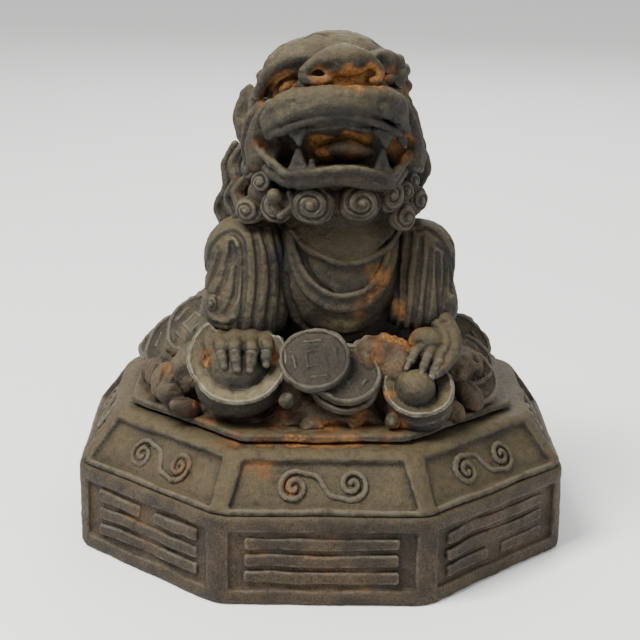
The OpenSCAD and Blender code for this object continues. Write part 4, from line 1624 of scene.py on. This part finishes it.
left_ear = ear(on_head(-21.0, -12.6, -3.9), on_head(-19.8, -10.6, 12.0), (-0.75, -0.65, 0.1), 0.8)
right_ear = ear(on_head(17.8, -15, -2.0), on_head(16.2, -13, 11.6), (0.75, -0.65, 0.1), 0.8)
cast("left_ear", left_ear, voxel=0.34)
cast("right_ear", right_ear, voxel=0.34)


# ---------------------------------------------------------------- beard and mane

def lock(points, width):
    """A lock of hair: two strands that run side by side along one curve."""
    path = np.array(points, float)
    run = np.gradient(path, axis=0)
    side = np.cross(run, path - path.mean(axis=0) + (0, -30, 0))
    side /= np.linalg.norm(side, axis=1)[:, None]
    radii = (0.55 * width, 0.75 * width, 0.7 * width, 0.4 * width)
    return join(*[strand(path + side * shift * width, radii) for shift in (-0.375, 0.375)], k=0.25)


def beard_shape():
    """Curls of the beard that hang from the chin, in one row from ear to ear."""
    return join(
        snail((-14.6, -27.0, 93.6), 3.1, (-0.5, -1, 0.2), hand=1, height=0.8),
        snail((-11.2, -29.8, 88.0), 4.0, (-0.3, -1, 0.2), hand=-1, height=0.75, winds=1.9),
        ball((-11.9, -32.6, 91.2), 2.0),
        strand([(-8.6, -31.8, 92.0), (-8.0, -32.6, 89.0), (-10.4, -32.8, 86.8)], (0.7, 1.0)),
        snail((-17.8, -23.6, 85.8), 3.6, (-0.5, -1, 0.15), hand=1, height=0.75, winds=2.5),
        snail((-3.0, -33.0, 89.4), 4.7, (-0.12, -1, 0.2), hand=1, height=0.72, winds=2.7, stretch=1.16),
        snail((8.0, -32.4, 89.8), 4.7, (0.12, -1, 0.2), hand=-1, height=0.75, winds=2.2, stretch=1.05),
        snail((15.0, -29.0, 91.0), 4.0, (0.3, -1, 0.2), hand=1, height=0.8, winds=2.1),
        snail((18.6, -24.4, 84.9), 3.6, (0.5, -1, 0.1), hand=-1, height=0.8),
        strand([(-15.5, -22, 90), (-10.5, -26, 89.5), (-3, -29, 89.6), (5, -29.4, 90), (13, -26, 90.2),
                (17, -21, 88)],
               (3.0, 3.2)), k=0.5)


beard = beard_shape()
cast("beard_curls", lambda p: beard(wobbled(p, 0.35, 3.5, 81)), voxel=0.32)

MANE_MIDDLE = vec(1.5, 2, 92)
mane_core = join(egg((1.5, 2, 92), (21.5, 15, 15), (-12, 0, 3)), egg((1.5, 3, 83), (22.5, 14.5, 8.5)),
                 egg((2.5, 9, 88), (16, 12.5, 14)), k=5)


def mane_curls(*curls):
    """Curls on the side of the mane: each one's bearing, rise, radius and hand."""
    return [curl_on(mane_core, MANE_MIDDLE, *curl) for curl in curls]


def left_mane_shape():
    """The left side of the mane: two small curls, wavy locks and large curls behind."""
    return join(
        snail((-17.6, -18.6, 95.2), 3.0, (-0.8, -0.8, 0.2), hand=-1),
        snail((-20.6, -15.0, 88.6), 3.2, (-0.8, -0.8, 0.1), hand=1, stretch=0.8),
        lock([(-19.4, -13.0, 99.0), (-21.6, -13.0, 95.0), (-20.8, -15.2, 91.0), (-22.8, -13.8, 86.4),
              (-21.0, -16.0, 82.6)], 1.8),
        lock([(-18.4, -17.4, 92.4), (-20.8, -16.6, 88.6), (-19.8, -19.0, 84.6), (-21.8, -17.4, 81.4)], 1.5),
        lock([(-21.2, -9.0, 98.6), (-23.4, -8.6, 93.6), (-23.0, -9.8, 88.4), (-25.4, -7.6, 83.0),
              (-24.4, -9.2, 79.6)], 1.8),
        *mane_curls((-118, -8, 3.6, 1), (-108, -26, 3.8, -1), (-98, 12, 3.8, 1), (-94, -8, 4.0, -1),
                    (-84, -26, 4.0, 1), (-80, 10, 3.9, -1)),
        limb((-16, -10, 94), (-20, -6, 83), 5.0, 5.6), k=0.5)


cast("left_mane", left_mane_shape(), voxel=0.38)


def right_mane_shape():
    """The right side of the mane: five small curls, a lock and large curls behind."""
    return join(
        snail((17.6, -20.0, 95.2), 2.7, (0.6, -1, 0.2), hand=1),
        snail((20.8, -17.0, 92.0), 2.7, (0.8, -0.9, 0.1), hand=-1),
        snail((19.0, -20.6, 90.2), 2.6, (0.6, -1, 0), hand=1),
        snail((22.4, -16.6, 87.4), 3.3, (0.8, -0.9, 0), hand=-1),
        snail((19.8, -18.0, 99.0), 2.3, (0.7, -0.9, 0.2), hand=-1),
        lock([(20.6, -9.8, 102.0), (23.0, -9.4, 98.0), (24.4, -10.0, 93.6), (23.0, -11.8, 89.6)], 1.8),
        *mane_curls((118, -12, 3.5, 1), (108, -30, 3.6, -1), (100, 10, 3.7, 1), (94, -10, 3.9, -1),
                    (84, -28, 3.9, 1), (80, 10, 3.9, -1)),
        limb((17, -12, 94), (20, -6, 85), 4.6, 5.0), k=0.5)


cast("right_mane", right_mane_shape(), voxel=0.38)


def back_mane_shape():
    """Curls that cover the thick neck and the shoulders."""
    rows = ((62, 4, 110), (44, 6, 130), (26, 7, 140), (8, 8, 144), (-10, 8, 144), (-27, 7, 140))
    nape = curl_rows(mane_core, MANE_MIDDLE, rows, 3.9)
    return common(join(mane_core, *nape, k=0.6), lambda p: -9 - p[:, 1], k=0.5)


cast("back_mane", back_mane_shape(), voxel=0.45)


# ---------------------------------------------------------------- make every piece

# Where rust has bloomed: the middle of each patch, its radius and its strength. On the head:
HEAD_STAINS = [
    (-5.0, 22, 1.8, 3.4, 1.0), (1.0, 22, 0.8, 4.4, 2.6), (5.5, 21, 1.6, 4.2, 2.8),
    (-4.8, 22, 3.4, 2.4, 0.7), (5.2, 22, 3.6, 2.4, 1.0), (-13.0, 14.6, 4.0, 5.0, 1.1),
    (-17.0, 11, 0.5, 3.6, 0.8), (11.0, 15, 5.0, 3.6, 0.9), (8.0, 16, 12.0, 3.4, 0.7),
    (15.0, 10, 1.6, 3.2, 0.7), (-19.6, 8, -9.6, 2.6, 0.8), (-14.0, 11, -12.4, 4.2, 0.9),
    (-20.6, 6, -14.0, 2.8, 0.8), (14.6, 10, -11.6, 4.6, 1.5), (11.0, 10, -14.6, 3.4, 1.0),
    (-6.0, 11, -11.0, 4.2, 1.5), (3.0, 12, -10.0, 4.0, 1.2), (-7.5, 10, -16.0, 3.4, 1.3),
]
# And on the rest of the casting:
OTHER_STAINS = [
    (-21.0, -19.0, 90.0, 3.6, 0.9), (-8.0, -29.0, 85.0, 3.2, 0.9), (12.5, -28.0, 85.0, 2.8, 0.8),
    (3.0, -31.0, 85.6, 3.0, 0.7), (15.0, -27.6, 79.6, 3.4, 1.6), (16.4, -27.0, 76.0, 3.6, 1.6),
    (14.6, -28.0, 70.4, 4.6, 1.8), (13.0, -29.0, 66.0, 5.0, 1.9), (10.6, -30.0, 61.6, 4.6, 1.7),
    (17.0, -27.0, 62.0, 4.4, 1.0), (2.0, -30.5, 58.6, 4.6, 0.7), (-7.0, -30.0, 56.6, 3.6, 0.9),
    (11.8, -33.0, 54.2, 4.0, 1.5), (17.6, -31.0, 56.0, 5.0, 1.5), (16.4, -34.0, 51.0, 3.6, 1.2),
    (23.0, -30.0, 57.4, 3.2, 1.2), (-27.4, -38.4, 54.0, 2.6, 1.3), (-12.6, -37.0, 53.0, 3.4, 1.0),
    (15.0, -40.6, 45.4, 2.4, 1.2), (31.0, -37.0, 43.0, 3.4, 1.1), (18.0, -42.0, 40.0, 4.6, 0.9),
    (-10.0, -42.0, 40.0, 5.0, 1.0), (0.0, -43.0, 39.4, 6.0, 0.9), (9.0, -43.0, 40.6, 4.6, 1.1),
    (-30.0, -37.0, 39.4, 5.0, 1.0), (-37.0, -20.0, 45.0, 4.0, 0.9), (-34.0, -13.0, 43.0, 4.0, 0.9),
    (-14.0, -54.0, 31.4, 5.0, 0.9), (-8.0, -55.6, 28.4, 3.4, 0.7), (-33.0, -45.0, 29.0, 6.0, 0.7),
    (-24.0, -47.0, 34.0, 4.6, 0.8), (-47.0, -33.0, 30.0, 5.0, 0.6), (36.0, -43.0, 31.0, 6.0, 0.5),
    (-16.0, -60.0, 12.0, 4.6, 0.6), (-44.0, -41.0, 10.0, 8.0, 0.6), (-52.0, -34.0, 15.0, 5.0, 0.5),
    (0.0, -60.0, 11.0, 13.0, 0.45), (-43.0, -43.0, 11.0, 10.0, 0.4), (43.0, -43.0, 11.0, 10.0, 0.35),
    (10.0, -60.0, 6.0, 4.0, 0.5), (40.0, -45.0, 14.0, 6.0, 0.6), (50.0, -35.0, 8.0, 6.0, 0.5),
]
FRONT_EDGE = (0.9, 1.2, 1.0, 1.3, 1.0, 1.1, 0.9)   # strengths along the front of the terrace, 7 mm apart
stains = [(on_head(*at), radius, strength) for *at, radius, strength in HEAD_STAINS]
stains += [(at, radius, strength) for *at, radius, strength in OTHER_STAINS]
stains += [((7 * step - 28, -47.6, 36.6), 4.2, strength) for step, strength in enumerate(FRONT_EDGE)]
stains.append((middle("front_coin_top"), 7.0, 0.4))

# Where the iron is paler (above 0) or darker (below 0): pale dust on the large dish's rim and the left coins,
# darker on the front coins and the large dome, painted shade under the upper lip and round the fangs, painted
# light at the foot of the belly
# Painted shade under the upper lip
tones = [(point, 2.6, -0.7) for point in traced(UNDER_LIP)]
tones += [(left_dish_place.outside((9.8 * math.cos(angle), 9.8 * math.sin(angle), 1.8)), 2.8, 0.6)
          for angle in np.radians(np.arange(170, 345, 22))]
# Painted shade round the fangs in the mouth
tones += [(on_head(*fang_tip), 3.4, -1.2) for fang_tip in ((-10.6, 17.4, -11.0), (9.3, 16.8, -11.4))]
tones += [(on_head(*fang_foot), 3.8, -1.3) for fang_foot in ((-10.8, 14, -15.4), (9, 13.4, -15.4))]
tones += [(middle(node), radius, strength) for node, radius, strength in (
    ("left_coin_upper", 4.6, 0.5), ("left_coin_lower", 4.6, 0.5), ("left_coin_back", 4.6, 0.4),
    ("front_coin_top", 8.0, -0.45), ("front_coin_middle", 8.0, -0.4))]
# Darker on the large dome; painted light at the foot of the belly
tones += [(left_dome_at, 7.0, -0.5), ((2.0, -29.0, 55.4), 5.6, 0.8), ((8.0, -29.0, 55.4), 5.0, 0.8)]

with ThreadPoolExecutor(WORKERS) as workers:
    crowd = whole_crowd(workers)
    for piece in workers.map(sculpt, casting):
        show(piece, crowd, stains, tones)


# ---------------------------------------------------------------- stage, light and camera

def make_floor():
    """A plain pale floor under the pedestal."""
    material = bpy.data.materials.new("pale_floor")
    material.use_nodes = True
    shader = material.node_tree.nodes["Principled BSDF"]
    shader.inputs["Base Color"].default_value = (0.86, 0.86, 0.85, 1)
    shader.inputs["Roughness"].default_value = 0.9
    mesh = bpy.data.meshes.new("floor")
    half = 3.0
    corners = [(-half, -half, 0), (half, -half, 0), (half, half, 0), (-half, half, 0)]
    mesh.from_pydata(corners, [], [(0, 1, 2, 3)])
    mesh.materials.append(material)
    floor = bpy.data.objects.new("floor", mesh)
    floor.location.z = cad_box[0][2]
    bpy.context.scene.collection.objects.link(floor)


def add_light(name, at, aim, power, size, colour=(1, 1, 1)):
    """A square soft box that faces the point it is aimed at."""
    data = bpy.data.lights.new(name, "AREA")
    data.energy, data.size, data.color = power, size, colour
    made = bpy.data.objects.new(name, data)
    bpy.context.scene.collection.objects.link(made)
    made.location = at
    way = (aim - made.location).normalized()
    made.rotation_mode = "QUATERNION"
    made.rotation_quaternion = way.to_track_quat("-Z", "Y")


def make_lights():
    """A warm key light from the upper left, a weak fill, a light from behind and a pale sky."""
    aim = (cad_box[0] + cad_box[1]) / 2
    add_light("key", (-0.32, -0.26, 0.66), aim, 12.0, 0.30, (1.0, 0.98, 0.94))
    add_light("fill", (0.55, -0.45, 0.35), aim, 1.6, 0.6)
    add_light("back", (0.1, 0.6, 0.5), aim, 3.0, 0.5)
    world = bpy.data.worlds.new("studio")
    world.use_nodes = True
    world.node_tree.nodes["Background"].inputs["Color"].default_value = (1, 1, 1, 1)
    world.node_tree.nodes["Background"].inputs["Strength"].default_value = 0.75
    bpy.context.scene.world = world


CAMERA_TURN = -0.889                       # degrees round the object from straight ahead
CAMERA_RISE = 16.278                       # degrees that the camera looks down
CAMERA_ROLL = 0.724                        # degrees that the picture is turned
CAMERA_LENS = 102.35                       # millimetres, for a sensor 36 mm wide
# How far away the camera is, and how far it is shifted, in widths of the pedestal
CAMERA_FAR, CAMERA_RIGHT, CAMERA_LIFT = 4.005, 0.002, 0.415


def make_camera():
    """A camera that looks down a little, moved along its own picture plane to frame the object."""
    turn, rise, roll = (math.radians(a) for a in (CAMERA_TURN, CAMERA_RISE, CAMERA_ROLL))
    look = np.array((-math.sin(turn) * math.cos(rise), math.cos(turn) * math.cos(rise), -math.sin(rise)))
    level = np.array((math.cos(turn), math.sin(turn), 0))
    top = np.cross(level, look)
    right = math.cos(roll) * level + math.sin(roll) * top
    up = math.cos(roll) * top - math.sin(roll) * level
    at = (-look * CAMERA_FAR + right * CAMERA_RIGHT + up * CAMERA_LIFT) * float(foot_across) * MM
    data = bpy.data.cameras.new("camera")
    data.lens, data.sensor_width = CAMERA_LENS, 36.0
    data.clip_start, data.clip_end = 0.01, 20.0
    made = bpy.data.objects.new("camera", data)
    bpy.context.scene.collection.objects.link(made)
    axes = np.array((right, up, -look)).T
    made.matrix_world = Matrix([*[(*row, place) for row, place in zip(axes, at)], (0, 0, 0, 1)])
    bpy.context.scene.camera = made


make_floor()
make_lights()
make_camera()
